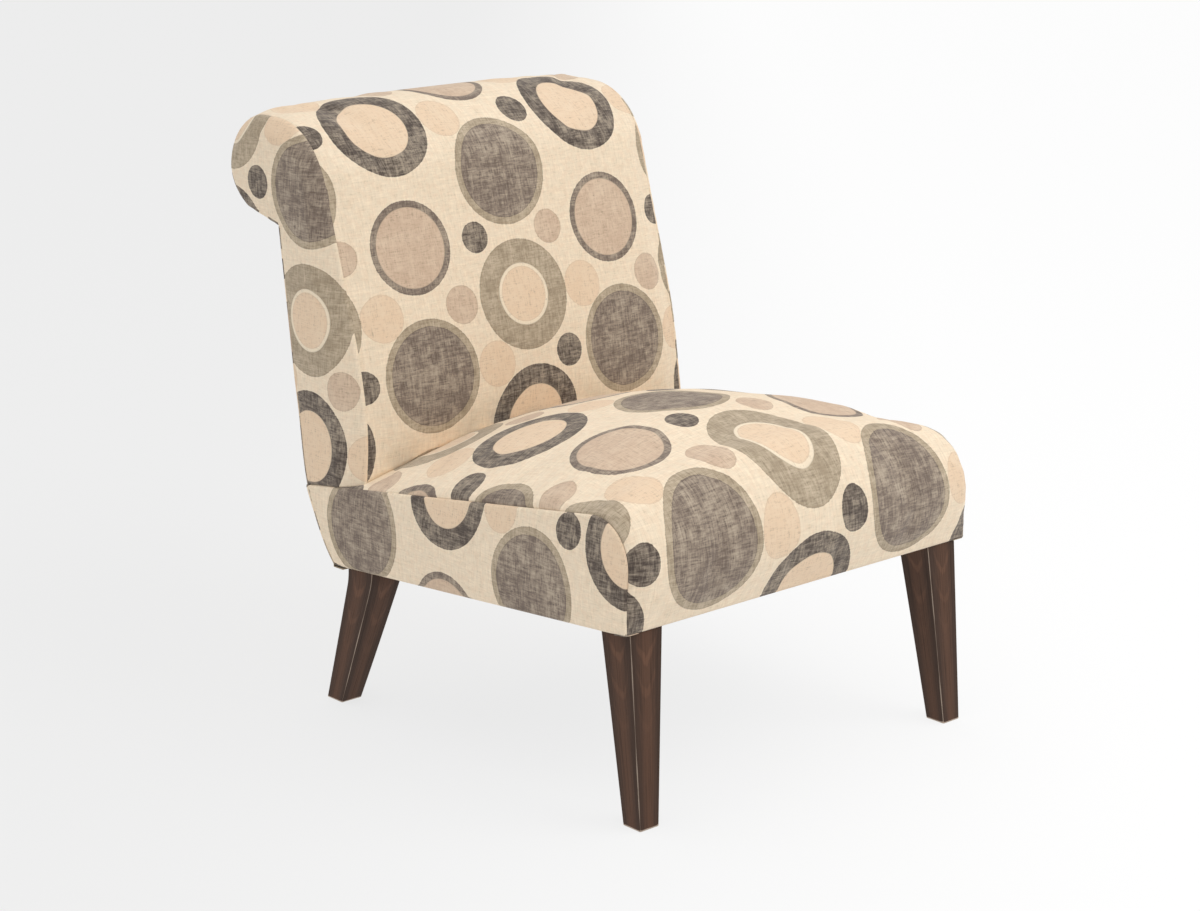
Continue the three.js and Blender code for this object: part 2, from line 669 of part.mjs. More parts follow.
for (const [place, side, end] of corners) {
  const [bx, by] = boltPlace(side, end);
  const boltHole = drill(BOLT_RADIUS + GAP, bx, by, boltBottom - GAP, boltTop + OVERRUN);
  boltHole.applyMatrix4(frame.matrixWorld);
  const footX = side * (LEG_OUTER - LEG_FOOT / 2);
  const footY = legMiddle(end, legHeight(end));
  const pinHole = drill(GLIDE_PIN_RADIUS + GAP, footX, footY, 0, GLIDE_HEIGHT + GLIDE_PIN + GAP);
  add(`leg_${place}`, cut(legBody(side, end), boltHole, pinHole), STAINED_WOOD);

  const glide = turned([
    [0, 0], [GLIDE_RADIUS - GLIDE_EDGE, 0], [GLIDE_RADIUS, GLIDE_EDGE], [GLIDE_RADIUS, GLIDE_HEIGHT],
    [GLIDE_PIN_RADIUS, GLIDE_HEIGHT], [GLIDE_PIN_RADIUS, GLIDE_HEIGHT + GLIDE_PIN],
    [0, GLIDE_HEIGHT + GLIDE_PIN]], 16);
  add(`glide_${place}`, glide, BLACK_PLASTIC).position.set(footX, footY, 0);

  const bolt = turned([
    [0, boltBottom], [BOLT_RADIUS / 2, boltBottom], [BOLT_RADIUS, boltBottom + BOLT_POINT],
    [BOLT_RADIUS, boltTop], [0, boltTop]], 12);
  add(`hanger_bolt_${place}`, bolt, ZINC, frame).position.set(bx, by, 0);

  const bore = BOLT_RADIUS + GAP;
  const tnut = turned([
    [bore, blockTop - TNUT_BARREL], [TNUT_BARREL_RADIUS, blockTop - TNUT_BARREL],
    [TNUT_BARREL_RADIUS, blockTop + GAP], [TNUT_FLANGE_RADIUS, blockTop + GAP],
    [TNUT_FLANGE_RADIUS, boltTop], [bore, boltTop], [bore, blockTop - TNUT_BARREL]], 12);
  add(`t_nut_${place}`, tnut, ZINC, frame).position.set(bx, by, 0);

  // A corner block is a triangle between its two rails, drilled for the bolt
  const [reach, wall] = blockWalls(side, end);
  const triangle = new THREE.Shape([
    new THREE.Vector2(reach, wall),
    new THREE.Vector2(reach - side * BLOCK_SIDE, wall),
    new THREE.Vector2(reach, wall - end * BLOCK_SIDE)]);
  const block = new THREE.ExtrudeGeometry(triangle, { depth: BLOCK_HEIGHT, bevelEnabled: false });
  const hole = drill(BLOCK_HOLE_RADIUS, bx, by, -OVERRUN, BLOCK_HEIGHT + OVERRUN);
  add(`corner_block_${place}`, cut(block, hole), RAW_WOOD, frame);
}

// Dust cloth under the frame, with a hole for each bolt
function dustCloth() {
  const edge = LEG_INSET - GAP;
  const front = edge;
  const rear = FRAME_DEPTH - edge;
  const half = HALF - edge;
  const cloth = new THREE.Shape([
    new THREE.Vector2(-half, front), new THREE.Vector2(half, front),
    new THREE.Vector2(half, rear), new THREE.Vector2(-half, rear)]);
  for (const [, side, end] of corners) {
    const [bx, by] = boltPlace(side, end);
    const hole = new THREE.Path();
    hole.absarc(bx, by, BOLT_RADIUS + GAP, 0, 2 * Math.PI, true);
    cloth.holes.push(hole);
  }
  return new THREE.ExtrudeGeometry(cloth, { depth: DUST_CLOTH, bevelEnabled: false, curveSegments: 6 });
}
add("dust_cover", dustCloth(), DUST_BLACK, frame).position.set(0, 0, -underLayer);

// Zigzag springs, arched from the front rail to the back rail and held by clips
const springFront = (RAIL_INSET + FRONT_RAIL_BACK) / 2;
const springRear = (BACK_RAIL_FRONT + BACK_RAIL_END) / 2;
const clipWall = CLIP_STEEL + GAP;
const springSeat = RAIL_HEIGHT + GAP + clipWall + WIRE_RADIUS;
const clipTop = springSeat + WIRE_RADIUS + clipWall;
const archAt = (y) => {
  const t = THREE.MathUtils.clamp((y - springFront) / (springRear - springFront), 0, 1);
  return SPRING_ARCH * Math.sin(Math.PI * t);
};

function springPath(x) {
  const gaps = 2 * Math.round((springRear - springFront) / SPRING_BAR_SPACING / 2) + 1;
  const pitch = (springRear - springFront) / gaps;
  const bend = pitch / 2;
  const reach = SPRING_WIDTH / 2 - bend - WIRE_RADIUS;
  const points = [];
  const put = (px, py) => points.push(new THREE.Vector3(x + px, py, springSeat + archAt(py)));
  put(-reach - bend, springFront);
  for (let k = 0; k < gaps; k += 1) {
    const side = k % 2 === 0 ? 1 : -1;
    const y = springFront + k * pitch + bend;
    for (const turn of [-90, -30, 30, 90].map(THREE.MathUtils.degToRad)) {
      put(side * (reach + bend * Math.cos(turn)), y + bend * Math.sin(turn));
    }
  }
  put(-reach - bend, springRear);
  return points;
}

// A clip is a steel strip on the rail, curled over the spring's end bar and closed on its tail
function clipOutline(sign) {
  const inner = WIRE_RADIUS + GAP;
  const outer = inner + CLIP_STEEL;
  const shape = new THREE.Shape();
  const steps = 6;
  const points = [];
  const bottom = -Math.PI / 2;
  const over = Math.PI / 2 + Math.PI / 6;
  for (let k = 0; k <= steps; k += 1) {
    const angle = THREE.MathUtils.lerp(bottom, over, k / steps);
    points.push([outer * Math.cos(angle), outer * Math.sin(angle)]);
  }
  for (let k = steps; k >= 0; k -= 1) {
    const angle = THREE.MathUtils.lerp(bottom, over, k / steps);
    points.push([inner * Math.cos(angle), inner * Math.sin(angle)]);
  }
  points.push([-CLIP_TAIL, -inner], [-CLIP_TAIL, -outer]);
  shape.setFromPoints(points.map(([y, z]) => new THREE.Vector2(sign * y, z)));
  return shape.getPoints();
}

for (let k = 0; k < SPRING_COUNT; k += 1) {
  const x = (k - (SPRING_COUNT - 1) / 2) * SPRING_SPACING;
  const path = springPath(x);
  add(`seat_spring_${k + 1}`, wire(path, WIRE_RADIUS, 5), SPRING_STEEL, frame);
  for (const [end, y, sign] of [["front", springFront, -1], ["rear", springRear, 1]]) {
    const clip = sideways(clipOutline(sign), x - CLIP_WIDTH / 2, x + CLIP_WIDTH / 2);
    add(`spring_clip_${end}_${k + 1}`, clip, ZINC, frame).position.set(0, y, springSeat);
  }
}

const springZone = ((SPRING_COUNT - 1) * SPRING_SPACING + SPRING_WIDTH) / 2;
const tieY = (springFront + springRear) / 2;
const tieZ = springSeat + SPRING_ARCH - WIRE_RADIUS - GAP - TIE_WIRE_RADIUS;
const tieReach = springZone + TIE_WIRE_REACH;
const tieEnds = [-tieReach, tieReach].map((x) => new THREE.Vector3(x, tieY, tieZ));
add("spring_tie_wire", wire(tieEnds, TIE_WIRE_RADIUS, 6), SPRING_STEEL, frame);

// The felt insulator lies over the springs and comes down on the side rails
const foamCorner = seatStations[6];
const behindCorner = (station) => (station.share - foamCorner.share) / (1 - foamCorner.share);
const deckShares = seatStations.map(behindCorner).filter((share) => share >= 0);
function deckAt(x, y, lift) {
  const down = THREE.MathUtils.smoothstep(Math.abs(x), deckEdgeShare * INSIDE, RAIL_INNER);
  const overSprings = clipTop + DECK_CLEARANCE - RAIL_HEIGHT + archAt(y);
  return fromFrame(x, y, RAIL_HEIGHT + GAP + (1 - down) * overSprings + lift);
}
const deckGrid = (lift) => deckShares.map((share) => acrossShares.map((across) =>
  deckAt(across * INSIDE, THREE.MathUtils.lerp(RAIL_INSET, BACK_RAIL_END, share), lift)));
const notches = [-1, 1].map(postNotch);
add("spring_insulator", cut(gridBody(deckGrid(INSULATOR), deckGrid(0)), ...notches), FELT);

// The seat foam fills from the deck to the top panel, and hangs over the front rail
const foamDepth = FABRIC + GAP;
function seatFoamInner(station, x) {
  const lift = INSULATOR + GAP;
  const front = RAIL_INSET - GAP;
  if (station.share <= foamCorner.share) {
    const foot = fromFrame(x, front, GAP);
    return foot.lerp(deckAt(x, front, lift), station.share / foamCorner.share);
  }
  return deckAt(x, THREE.MathUtils.lerp(front, BACK_RAIL_END, behindCorner(station)), lift);
}
const seatColumns = acrossShares.map((across) => across * INSIDE);
const seatSkin = (depth, stations = seatStations) =>
  stations.map((station) => seatColumns.map((x) => seatPoint(station, x, depth)));
const seatCore = seatStations.map((station) => seatColumns.map((x) => seatFoamInner(station, x)));
add("seat_foam", cut(gridBody(seatSkin(foamDepth), seatCore), ...notches), FOAM);
add("seat_top_cover", gridBody(seatSkin(0), seatSkin(FABRIC)), PRINTED_LINEN);

// What stands on the seat starts a little inside its top panel and is cut to it, with a gap
const pastEnd = new THREE.Vector2(SEAT_PANEL_END + OVERRUN, seatLine(SEAT_PANEL_END + OVERRUN));
const cutterStations = [...seatStations, { ...seatStations[seatStations.length - 1], p: pastEnd }];
const seatCutter = gridBody(seatSkin(-GAP, cutterStations), seatSkin(OVERRUN, cutterStations));
const SINK = OVERRUN / 2;

// Seat side panels: flat, from the underside up to the seam and back to the rear outline
const seatSideOutline = [
  ...seatStations.filter((station) => station.p.x <= noseEnd.x).map((station) => station.p),
  ...rearBelow(seatLine)];
for (const [side, sign] of [["left", -1], ["right", 1]]) {
  const faces = [sign * HALF, sign * (HALF - FABRIC)].sort((a, b) => a - b);
  add(`seat_side_cover_${side}`, sideways(seatSideOutline, ...faces), PRINTED_LINEN);
}

// Foam of the back. Its edges are rounded where the side panels turn in to their seams.
const foamRounding = SIDE_ROUNDING - FABRIC - GAP;
const foamColumns = (() => {
  const rounded = roundingAngles.slice(1, -1).reverse().map((angle) => ({
    x: ROUNDING_CENTRE + foamRounding * Math.sin(angle),
    depth: ROUNDING_DEPTH - foamRounding * Math.cos(angle),
  }));
  const flat = acrossShares.map((across) => ({ x: across * PANEL_HALF, depth: foamDepth }));
  return [
    ...rounded.map(({ x, depth }) => ({ x: -x, depth })), ...flat, ...rounded.slice().reverse()];
})();

function backFoam(from, to) {
  const columns = foamColumns.map(({ x, depth }) => backColumn(x, depth, -SINK));
  const outer = seamStations.map((_, i) =>
    foamColumns.map(({ x, depth }, j) => backPoint(columns[j][i], x, depth)));
  const inner = seamStations.map((station) => foamColumns.map(({ x }) => {
    const q = inward(station, FABRIC + GAP + foamAt(station.share));
    return new THREE.Vector3(x, q.x, q.y);
  }));
  return { outer: outer.slice(from, to), inner: inner.slice(from, to) };
}

const splitRow = FRONT_STEPS + 2;
const pad = backFoam(0, splitRow + 1);
pad.inner[0].forEach((p, j) => {
  const above = pad.inner[1][j];
  p.lerp(above, (seatTop(p.x, p.y) - SINK - p.z) / (above.z - p.z));
});
add("back_foam", cut(gridBody(pad.outer, pad.inner), seatCutter), FOAM);

const wrap = backFoam(splitRow, seamStations.length - 1);
const shrink = (a, b) => a.lerp(b, GAP / a.distanceTo(b));
wrap.outer[0].forEach((p, j) => shrink(p, wrap.outer[1][j]));
wrap.inner[0].forEach((p, j) => shrink(p, wrap.inner[1][j]));
add("roll_foam", gridBody(wrap.outer, wrap.inner), FOAM);

// Under the foam: webbing across the front of the posts, and a bent board over their heads.
// A place is given in stations along the posts' front, with a fraction for the way between two.
function acrossPosts(places, outerLift, innerLift) {
  const row = (place, lift) => {
    const before = Math.min(Math.floor(place), seamStations.length - 2);
    const [a, b] = [before, before + 1].map((k) => {
      const station = seamStations[k];
      return inward(station, postDepth(station.share) - lift);
    });
    const q = a.lerp(b, place - before);
    return [-INSIDE, INSIDE].map((x) => new THREE.Vector3(x, q.x, q.y));
  };
  return gridBody(
    places.map((place) => row(place, outerLift)), places.map((place) => row(place, innerLift)));
}

const webbingShares = [0.08, 0.92];
[1, 3, 5].forEach((station, k) => {
  const places = webbingShares.map((share) => station + share);
  add(`back_webbing_${k + 1}`, acrossPosts(places, GAP + WEBBING, GAP), JUTE);
});
const boardPlaces = seamStations.slice(FRONT_STEPS, -1).map((_, k) => FRONT_STEPS + k);
add("scroll_board", acrossPosts(boardPlaces, GAP + SCROLL_BOARD, GAP), CARDBOARD);

// The inside back panel goes up the front, over the roll and under it to the neck
const panelColumns = acrossShares.map((across) => across * PANEL_HALF);
const panelStations = panelColumns.map((x) => backColumn(x, 0, -SINK));
const panelSkin = (depth) => seamStations.map((_, i) =>
  panelColumns.map((x, j) => backPoint(panelStations[j][i], x, depth)));
add("inside_back_cover", cut(gridBody(panelSkin(0), panelSkin(FABRIC)), seatCutter), PRINTED_LINEN);

// The outside back panel covers the posts' rear edges
const rearSkin = (depth) => rearStations.map((station) => [-1, 0, 1].map((across) => {
  const q = inward(station, depth);
  return new THREE.Vector3(across * INSIDE, q.x, q.y);
}));
add("outside_back_cover", gridBody(rearSkin(0), rearSkin(FABRIC)), PRINTED_LINEN);

// A side panel of the back: its seam edge is rounded in, the rest is flat
function backSideCover(sign) {
  const ring = (angle, radius) => {
    const x = ROUNDING_CENTRE + radius * Math.sin(angle);
    const depth = ROUNDING_DEPTH - radius * Math.cos(angle);
    return backColumn(x, depth, GAP).map((station) => {
      const q = inward(station, depth);
      return new THREE.Vector3(sign * x, q.x, q.y);
    });
  };
  const rearPart = rearPoints.slice(1).filter((p) => p.y > seatLine(p.x));
  const corner = rearBelow(seatLine)[0];
  const flatEdge = [neckPoint, ...rearPart, corner.clone().setY(corner.y + GAP)];
  const layer = (radius) => [
    ...roundingAngles.map((angle) => ring(angle, radius)).flat(),
    ...flatEdge.map((p) => new THREE.Vector3(sign * (ROUNDING_CENTRE + radius), p.x, p.y))];
  const outer = layer(SIDE_ROUNDING);
  const inner = layer(SIDE_ROUNDING - FABRIC);
  const rows = seamStations.length;
  const rings = roundingAngles.length;
  const at = (k, i) => k * rows + i;
  const triangles = [];
  for (let k = 0; k < rings - 1; k += 1) {
    for (let i = 0; i < rows - 1; i += 1) {
      triangles.push([at(k, i), at(k, i + 1), at(k + 1, i + 1)], [at(k, i), at(k + 1, i + 1), at(k + 1, i)]);
    }
  }
  const flatRing = seamStations.map((_, i) => at(rings - 1, i));
  const rearmost = seamStations.indexOf(seamStations.reduce((a, b) => (b.p.x > a.p.x ? b : a)));
  const underRoll = flatRing.slice(rearmost + 1).reverse();
  const rearChain = [...flatEdge.map((_, i) => rings * rows + i).reverse(), ...underRoll];
  triangles.push(...rungs(outer, flatRing.slice(0, rearmost + 1), rearChain));
  const rim = [];
  for (let i = 0; i < rows; i += 1) {
    rim.push(at(0, i));
  }
  for (let k = 1; k < rings; k += 1) {
    rim.push(at(k, rows - 1));
  }
  flatEdge.forEach((_, i) => rim.push(rings * rows + i));
  for (let k = rings - 1; k > 0; k -= 1) {
    rim.push(at(k, 0));
  }
  return layered(outer, inner, triangles, rim);
}
for (const [side, sign] of [["left", -1], ["right", 1]]) {
  add(`back_side_cover_${side}`, cut(backSideCover(sign), seatCutter), PRINTED_LINEN);
}

// Place the origin on the floor below the middle of the whole chair
const bounds = new THREE.Box3().setFromObject(model);
model.position.set(0, -(bounds.min.y + bounds.max.y) / 2, 0);
model.updateMatrixWorld(true);

export default model;
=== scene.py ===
"""Looks of an armless slipper chair with a rolled back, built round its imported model."""

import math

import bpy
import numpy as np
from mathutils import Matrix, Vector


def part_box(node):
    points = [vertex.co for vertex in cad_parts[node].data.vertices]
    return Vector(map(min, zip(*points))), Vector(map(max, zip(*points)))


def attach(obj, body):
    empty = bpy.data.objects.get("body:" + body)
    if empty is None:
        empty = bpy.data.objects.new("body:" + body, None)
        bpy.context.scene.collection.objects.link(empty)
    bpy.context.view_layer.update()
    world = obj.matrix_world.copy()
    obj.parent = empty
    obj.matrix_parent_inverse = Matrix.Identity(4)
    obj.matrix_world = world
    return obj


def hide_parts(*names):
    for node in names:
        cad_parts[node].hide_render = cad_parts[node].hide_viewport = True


bl_info = {
    "name": "Slipper chair",
    "version": (1, 0, 0),
    "blender": (4, 5, 0),
    "location": "View3D > Sidebar > Chair",
    "description": "Makes the cloth, cushions, legs and stage of a slipper chair round its frame",
    "category": "Object",
}

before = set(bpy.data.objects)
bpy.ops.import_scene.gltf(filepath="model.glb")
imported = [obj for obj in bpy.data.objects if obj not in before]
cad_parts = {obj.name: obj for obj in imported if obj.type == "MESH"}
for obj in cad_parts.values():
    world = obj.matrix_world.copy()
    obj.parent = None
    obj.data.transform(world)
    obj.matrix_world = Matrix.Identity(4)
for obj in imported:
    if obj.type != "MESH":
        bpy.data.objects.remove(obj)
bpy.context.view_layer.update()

side_low, side_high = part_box("seat_side_cover_right")
HALF = side_high.x
FRONT = side_low.y
UP_AXIS = np.array([0.0, 0.0, 1.0])


# Settings

def length(name, default, description):
    """A length in metres that a user may change."""
    return bpy.props.FloatProperty(name=name, default=default, description=description, unit="LENGTH")


def angle(name, default, description):
    """An angle, given in degrees and kept in radians."""
    return bpy.props.FloatProperty(
        name=name, default=math.radians(default), description=description, subtype="ANGLE")


def colour(name, default, description):
    """A colour, given in the eight-bit values that a screen shows and kept as light."""
    light = [(c / 255 / 12.92) if c < 11 else ((c / 255 + 0.055) / 1.055) ** 2.4 for c in default]
    return bpy.props.FloatVectorProperty(
        name=name, default=light, description=description, subtype="COLOR", size=3, min=0, max=1)


def amount(name, default, description):
    """A plain number."""
    return bpy.props.FloatProperty(name=name, default=default, description=description)


class ChairSizes(bpy.types.PropertyGroup):
    """The chair's side outlines. Depths are measured from the front of the seat's side seam."""
    front_underside: length("Front underside", 0.240, "Height of the underside at the front")
    rear_underside: length("Rear underside", 0.1924, "Height of the underside at the heel")
    hem_setback: length("Hem setback", 0.0, "How far the front hem lies behind the nose")
    rear_corner: length("Rear corner", 0.5595, "Depth of the heel")
    nose_radius: length("Nose radius", 0.060, "Radius of the seat's rounded front")
    nose_top: length("Nose top", 0.3715, "Height of the top of the nose")
    seat_run: length("Seat run", 0.490, "Length over which the seat falls")
    seat_fall: length("Seat fall", 0.070, "How far the seat falls to the rear")
    back_front: length("Back front", 0.5085, "Depth of the back's front at the seat")
    back_upright: length("Back upright", 0.319, "Height up to which the back's front is upright")
    back_bend: length("Back bend", 0.650, "Radius of the bend into the lean")
    back_lean: angle("Back lean", 16.5, "Lean of the back")
    shoulder_radius: length("Shoulder radius", 0.105, "Radius of the back's shoulder")
    back_top: length("Back top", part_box("back_side_cover_right")[1].z, "Height of the side seam's top")
    roll_radius: length("Roll radius", 0.0625, "Radius of the roll")
    roll_centre: length("Roll centre", 0.7175, "Depth of the roll's centre")
    roll_turn: angle("Roll turn", 166, "Angle through which the roll turns from its top")
    neck: length("Neck", 0.6745, "Depth of the neck under the roll")
    rear_straight_start: length("Rear straight start", 0.6525, "Depth where the straight rear ends")
    rear_straight_height: length("Rear straight height", 0.451, "Height where the straight rear ends")
    rear_handle: length("Rear handle", 0.130, "Pull of the rear curve at its top")
    heel_handle: length("Heel handle", 0.060, "Pull of the rear curve at the heel")
    heel_angle: angle("Heel angle", 43.6, "Slope of the rear curve at the heel")
    back_foam: length("Back foam", 0.060, "Foam at the front of the back")
    roll_foam: length("Roll foam", 0.017, "Foam round the roll")
    panel_past_back: length("Panel past back", 0.053, "How far the seat's panel goes under the back")


class CushionSizes(bpy.types.PropertyGroup):
    """How the cushions swell above their seams."""
    seat_crown: length("Seat crown", 0.068, "Rise of the seat's middle")
    seat_edge_rise: length("Seat edge rise", 0.012, "Rise of the seat close to its side seams")
    seat_edge_width: length("Seat edge width", 0.006, "Width over which that edge rises")
    back_crown: length("Back crown", 0.010, "Rise of the back's middle")
    back_edge_rise: length("Back edge rise", 0.009, "Rise of the back close to its side seams")
    back_edge_width: length("Back edge width", 0.028, "Width over which that edge rises")
    taper_reach: length("Taper reach", 0.045, "How far from its front seam the back's side comes in")
    shoulder_reach: length("Shoulder reach", 0.022, "That reach at the shoulders")
    seam_drop: length("Seam drop", 0.013, "How far the front seams lie in from the sides")
    side_bulge: length("Side bulge", 0.003, "How far the side panels swell between their seams")
    fullness: length("Fullness", 0.008, "How far the sides stand out with their padding, low down")
    full_height: length("Full height", 0.270, "Height below which the sides are at their fullest")
    slim_height: length("Slim height", 0.400, "Height above which they are at the frame's width")
    rail_inset: length("Rail inset", 0.0067, "Thickness of the foam in front of the rail")
    deck_height: length("Deck height", 0.0788, "Height of the rails and their felt")
    deck_arch: length("Deck arch", 0.036, "How far the felt arches up over the springs")
    rail_width: length("Rail width", 0.022, "Width of a rail")


class ClothSizes(bpy.types.PropertyGroup):
    """The upholstery cloth and its sewing."""
    thickness: length("Thickness", 0.0008, "Thickness of the linen")
    seam_turn: length("Seam turn", 0.003, "How deep the cloth turns in at a seam")
    rear_turn: length("Rear turn", 0.0014, "How deep the side panels turn in at the rear seams")
    wrap: length("Wrap", 0.0046, "How far the cloth behind the back comes round on to the sides")
    hem_depth: length("Hem depth", 0.018, "How far the cloth turns under the frame")
    seam_allowance: length("Seam allowance", 0.012, "Cloth beyond a seam that the cut includes")
    pucker_height: length("Pucker height", 0.0011, "Height of the puckers along a sewn seam")
    pucker_reach: length("Pucker reach", 0.016, "How far the puckers reach from the seam")
    hem_lift: length("Hem lift", 0.001, "How far the hem lies above the underside")
    tuck: length("Tuck", 0.004, "How far the back is pressed into the seat")
    crease: length("Crease", 0.009, "How deep the back turns in above the seat")
    mesh_step: length("Mesh step", 0.005, "Size of a mesh cell away from the seams")
    seam_step: length("Seam step", 0.0005, "Size of a mesh cell at a seam")


class StuffingSettings(bpy.types.PropertyGroup):
    """How the cushions' cloth is blown up over their foam."""
    pressure: amount("Pressure", 4.0, "Pressure behind the cloth")
    frames: bpy.props.IntProperty(name="Frames", default=20, description="Frames that it is let work")
    mesh: length("Mesh", 0.011, "Size of a cell of the cloth that is blown up")
    cap: length("Cap", 0.006, "The furthest that a point may move")
    slack: amount("Slack", 0.012, "Share by which the cloth is cut larger than its place")
    hold_reach: length("Hold reach", 0.024, "Distance from a seam over which its hold fades")
    foam_hold: amount("Foam hold", 0.02, "Share of a seam's hold that the foam has on the cloth")


class PrintSettings(bpy.types.PropertyGroup):
    """The printed cloth: rings and discs on a half-drop lattice."""
    pitch: length("Pitch", 0.166, "Distance between the columns, and along a column")
    large_radius: length("Large radius", 0.073, "Radius of the large motifs")
    dot_radius: length("Dot radius", 0.023, "Radius of the small dots")
    ground: colour("Ground", (241, 223, 197), "Natural linen")
    charcoal: colour("Charcoal", (86, 75, 68), "Darkest ink")
    stone: colour("Stone", (122, 107, 96), "Dark ink, thinned")
    taupe: colour("Taupe", (168, 151, 127), "Middle ink")
    peach: colour("Peach", (236, 208, 177), "Light warm ink")
    pink: colour("Pink", (208, 181, 156), "Dusty ink")
    cream: colour("Cream", (245, 228, 202), "Outline ink")


class LegSizes(bpy.types.PropertyGroup):
    """The square tapered legs."""
    top: length("Top", 0.0508, "Width of a leg at its top")
    foot: length("Foot", 0.0301, "Width of a leg at its foot")
    inset: length("Inset", 0.0047, "How far a leg stands inside the cloth's edge")
    edge: length("Edge", 0.0016, "Radius of a leg's corners")
    front_splay: length("Front splay", 0.0185, "Forward reach of a front foot")
    rear_splay: length("Rear splay", 0.0532, "Rearward reach of a rear foot")
    rear_from_corner: length("Rear from corner", 0.013, "Distance of a rear leg from the heel")
    rear_bend: length("Rear bend", 0.026, "Depth over which a rear leg bends")
    glide: length("Glide", 0.0008, "Height of the foot above the floor")
    rear_foot: length("Rear foot", 0.0322, "Width of a rear leg at its foot")
    espresso: colour("Espresso", (69, 52, 43), "Dark stain")
    # Colour of a leg's paler corners and of the pale rim round its foot
    chestnut: colour("Chestnut", (100, 71, 55), "Redder stain along the middle of a face")
    worn: colour("Worn", (190, 172, 156), "Bare wood on the worn edges")


class StageSettings(bpy.types.PropertyGroup):
    """The floor, the lights and the camera."""
    floor_left: colour("Floor left", (235, 235, 235), "The lit floor on the camera's left")
    floor_right: colour("Floor right", (253, 253, 253), "The lit floor on the camera's right")
    floor_shade: amount("Floor shade", 0.12, "Share of its light that the floor takes from the lamps")
    floor_reach: length("Floor reach", 40.0, "Radius of the floor")
    backdrop_height: length("Backdrop height", 14.0, "Height of the backdrop round the floor")
    sky: amount("Sky", 1.42, "Strength of the sky overhead. It fades evenly to none at the horizon")
    key: amount("Key", 42.0, "Power of the large light at the front right")
    fill: amount("Fill", 4.6, "Power of the low light on the left")
    camera_side: length("Camera side", -2.3212, "Camera's place across")
    camera_depth: length("Camera depth", -2.2238, "Camera's depth from the seat's front")
    camera_height: length("Camera height", 1.2828, "Camera's height")
    camera_turn: angle("Camera turn", -41.8116, "Camera's turn about the upright axis")
    camera_fall: angle("Camera fall", 15.3392, "How far the camera looks down")
    lens: amount("Lens", 83.17, "Focal length in millimetres on a 36 mm sensor")


SETTINGS = {
    "chair_sizes": ChairSizes, "cushion_sizes": CushionSizes, "cloth_sizes": ClothSizes,
    "stuffing_settings": StuffingSettings, "print_settings": PrintSettings, "leg_sizes": LegSizes, "stage_settings": StageSettings}

# How much of a crown or an edge rise is left at each share of the way along the side seam
seat_crown_shares = (
    (0, 0.09, 0.18, 0.27, 0.42, 0.58, 0.74, 0.88, 1), (0, 0.15, 0.36, 0.57, 0.92, 1, 0.92, 0.7, 0.5))
seat_edge_shares = (
    (0, 0.09, 0.2, 0.26, 0.31, 0.36, 0.42, 0.5, 0.65, 0.88, 1),
    (0, 1, 1.05, 0.35, 0.5, 1.05, 1.0, 0.85, 0.85, 0.1, 0))
back_crown_shares = ((0, 0.3, 0.5, 0.65, 0.8, 0.95, 1), (1, 1, 0.9, 0.35, 0.05, 0, 0))
back_edge_shares = ((0, 0.4, 0.55, 0.7, 0.85, 0.95, 1), (0.2, 0.1, 0.35, 0.9, 0.95, 0.5, 0))

# How much of the shoulders' reach, and of the wrap behind the back, there is along the front seam
shoulder_shares = ((0, 0.36, 0.5, 1), (0, 0, 1, 1))
wrap_shares = ((0, 0.74, 0.84, 1), (0, 0, 1, 1))


# Outlines in the side plane, as rows of depth and height

def turned(direction):
    """The direction a quarter turn to the left of one in the side plane."""
    return np.stack([-direction[..., 1], direction[..., 0]], -1)


def line(start, end, step=0.001):
    """Points evenly along a straight line, with the outward direction on its left."""
    start, end = np.asarray(start, float), np.asarray(end, float)
    count = max(2, int(np.linalg.norm(end - start) / step) + 1)
    share = np.linspace(0, 1, count)[:, None]
    out = turned((end - start) / np.linalg.norm(end - start))
    return start + (end - start) * share, np.repeat(out[None], count, 0)


def arc(centre, radius, start, stop, step=0.001):
    """Points evenly round a circle between two angles, with the directions away from its centre."""
    count = max(3, int(abs(stop - start) * radius / step) + 1)
    turn = np.linspace(start, stop, count)
    out = np.stack([np.cos(turn), np.sin(turn)], -1)
    return np.asarray(centre) + radius * out, out


def rounded_corner(point, before, after, radius):
    """The arc that rounds a corner between two lines, given their outward directions. Its centre
    lies inside the corner at the radius from both lines."""
    before, after = np.asarray(before, float), np.asarray(after, float)
    centre = np.asarray(point) - radius * (before + after) / (1 + before @ after)
    start = math.atan2(before[1], before[0])
    turn = math.atan2(before[0] * after[1] - before[1] * after[0], before @ after)
    return arc(centre, radius, start, start + turn, step=radius / 8)


class Path:
    """Stretches of outline joined into one, which is looked up by the distance along it."""

    def __init__(self, *stretches):
        points = np.concatenate([points for points, _ in stretches])
        outward = np.concatenate([out for _, out in stretches])
        steps = np.linalg.norm(np.diff(points, axis=0), axis=1)
        keep = np.concatenate([[True], steps > 1e-7])
        self.points, self.outward = points[keep], outward[keep]
        steps = np.linalg.norm(np.diff(self.points, axis=0), axis=1)
        self.way = np.concatenate([[0], np.cumsum(steps)])
        self.length = self.way[-1]

    def at(self, way):
        """Points and outward directions at distances along the path, straight on past its ends."""
        past = np.minimum(way, 0) + np.maximum(way - self.length, 0)
        points = np.stack([np.interp(way, self.way, c) for c in self.points.T], -1)
        out = np.stack([np.interp(way, self.way, c) for c in self.outward.T], -1)
        return points - turned(out) * past[..., None], out

    def nearest(self, point):
        """The distance along the path of its point nearest to the given one."""
        return self.way[np.argmin(np.linalg.norm(self.points - point, axis=1))]


def underside(s):
    """The front and rear corners of the underside, and its outward direction."""
    front = np.array([s.hem_setback, s.front_underside])
    heel = np.array([s.rear_corner, s.rear_underside])
    back_to_front = (front - heel) / np.linalg.norm(front - heel)
    return front, heel, turned(back_to_front)


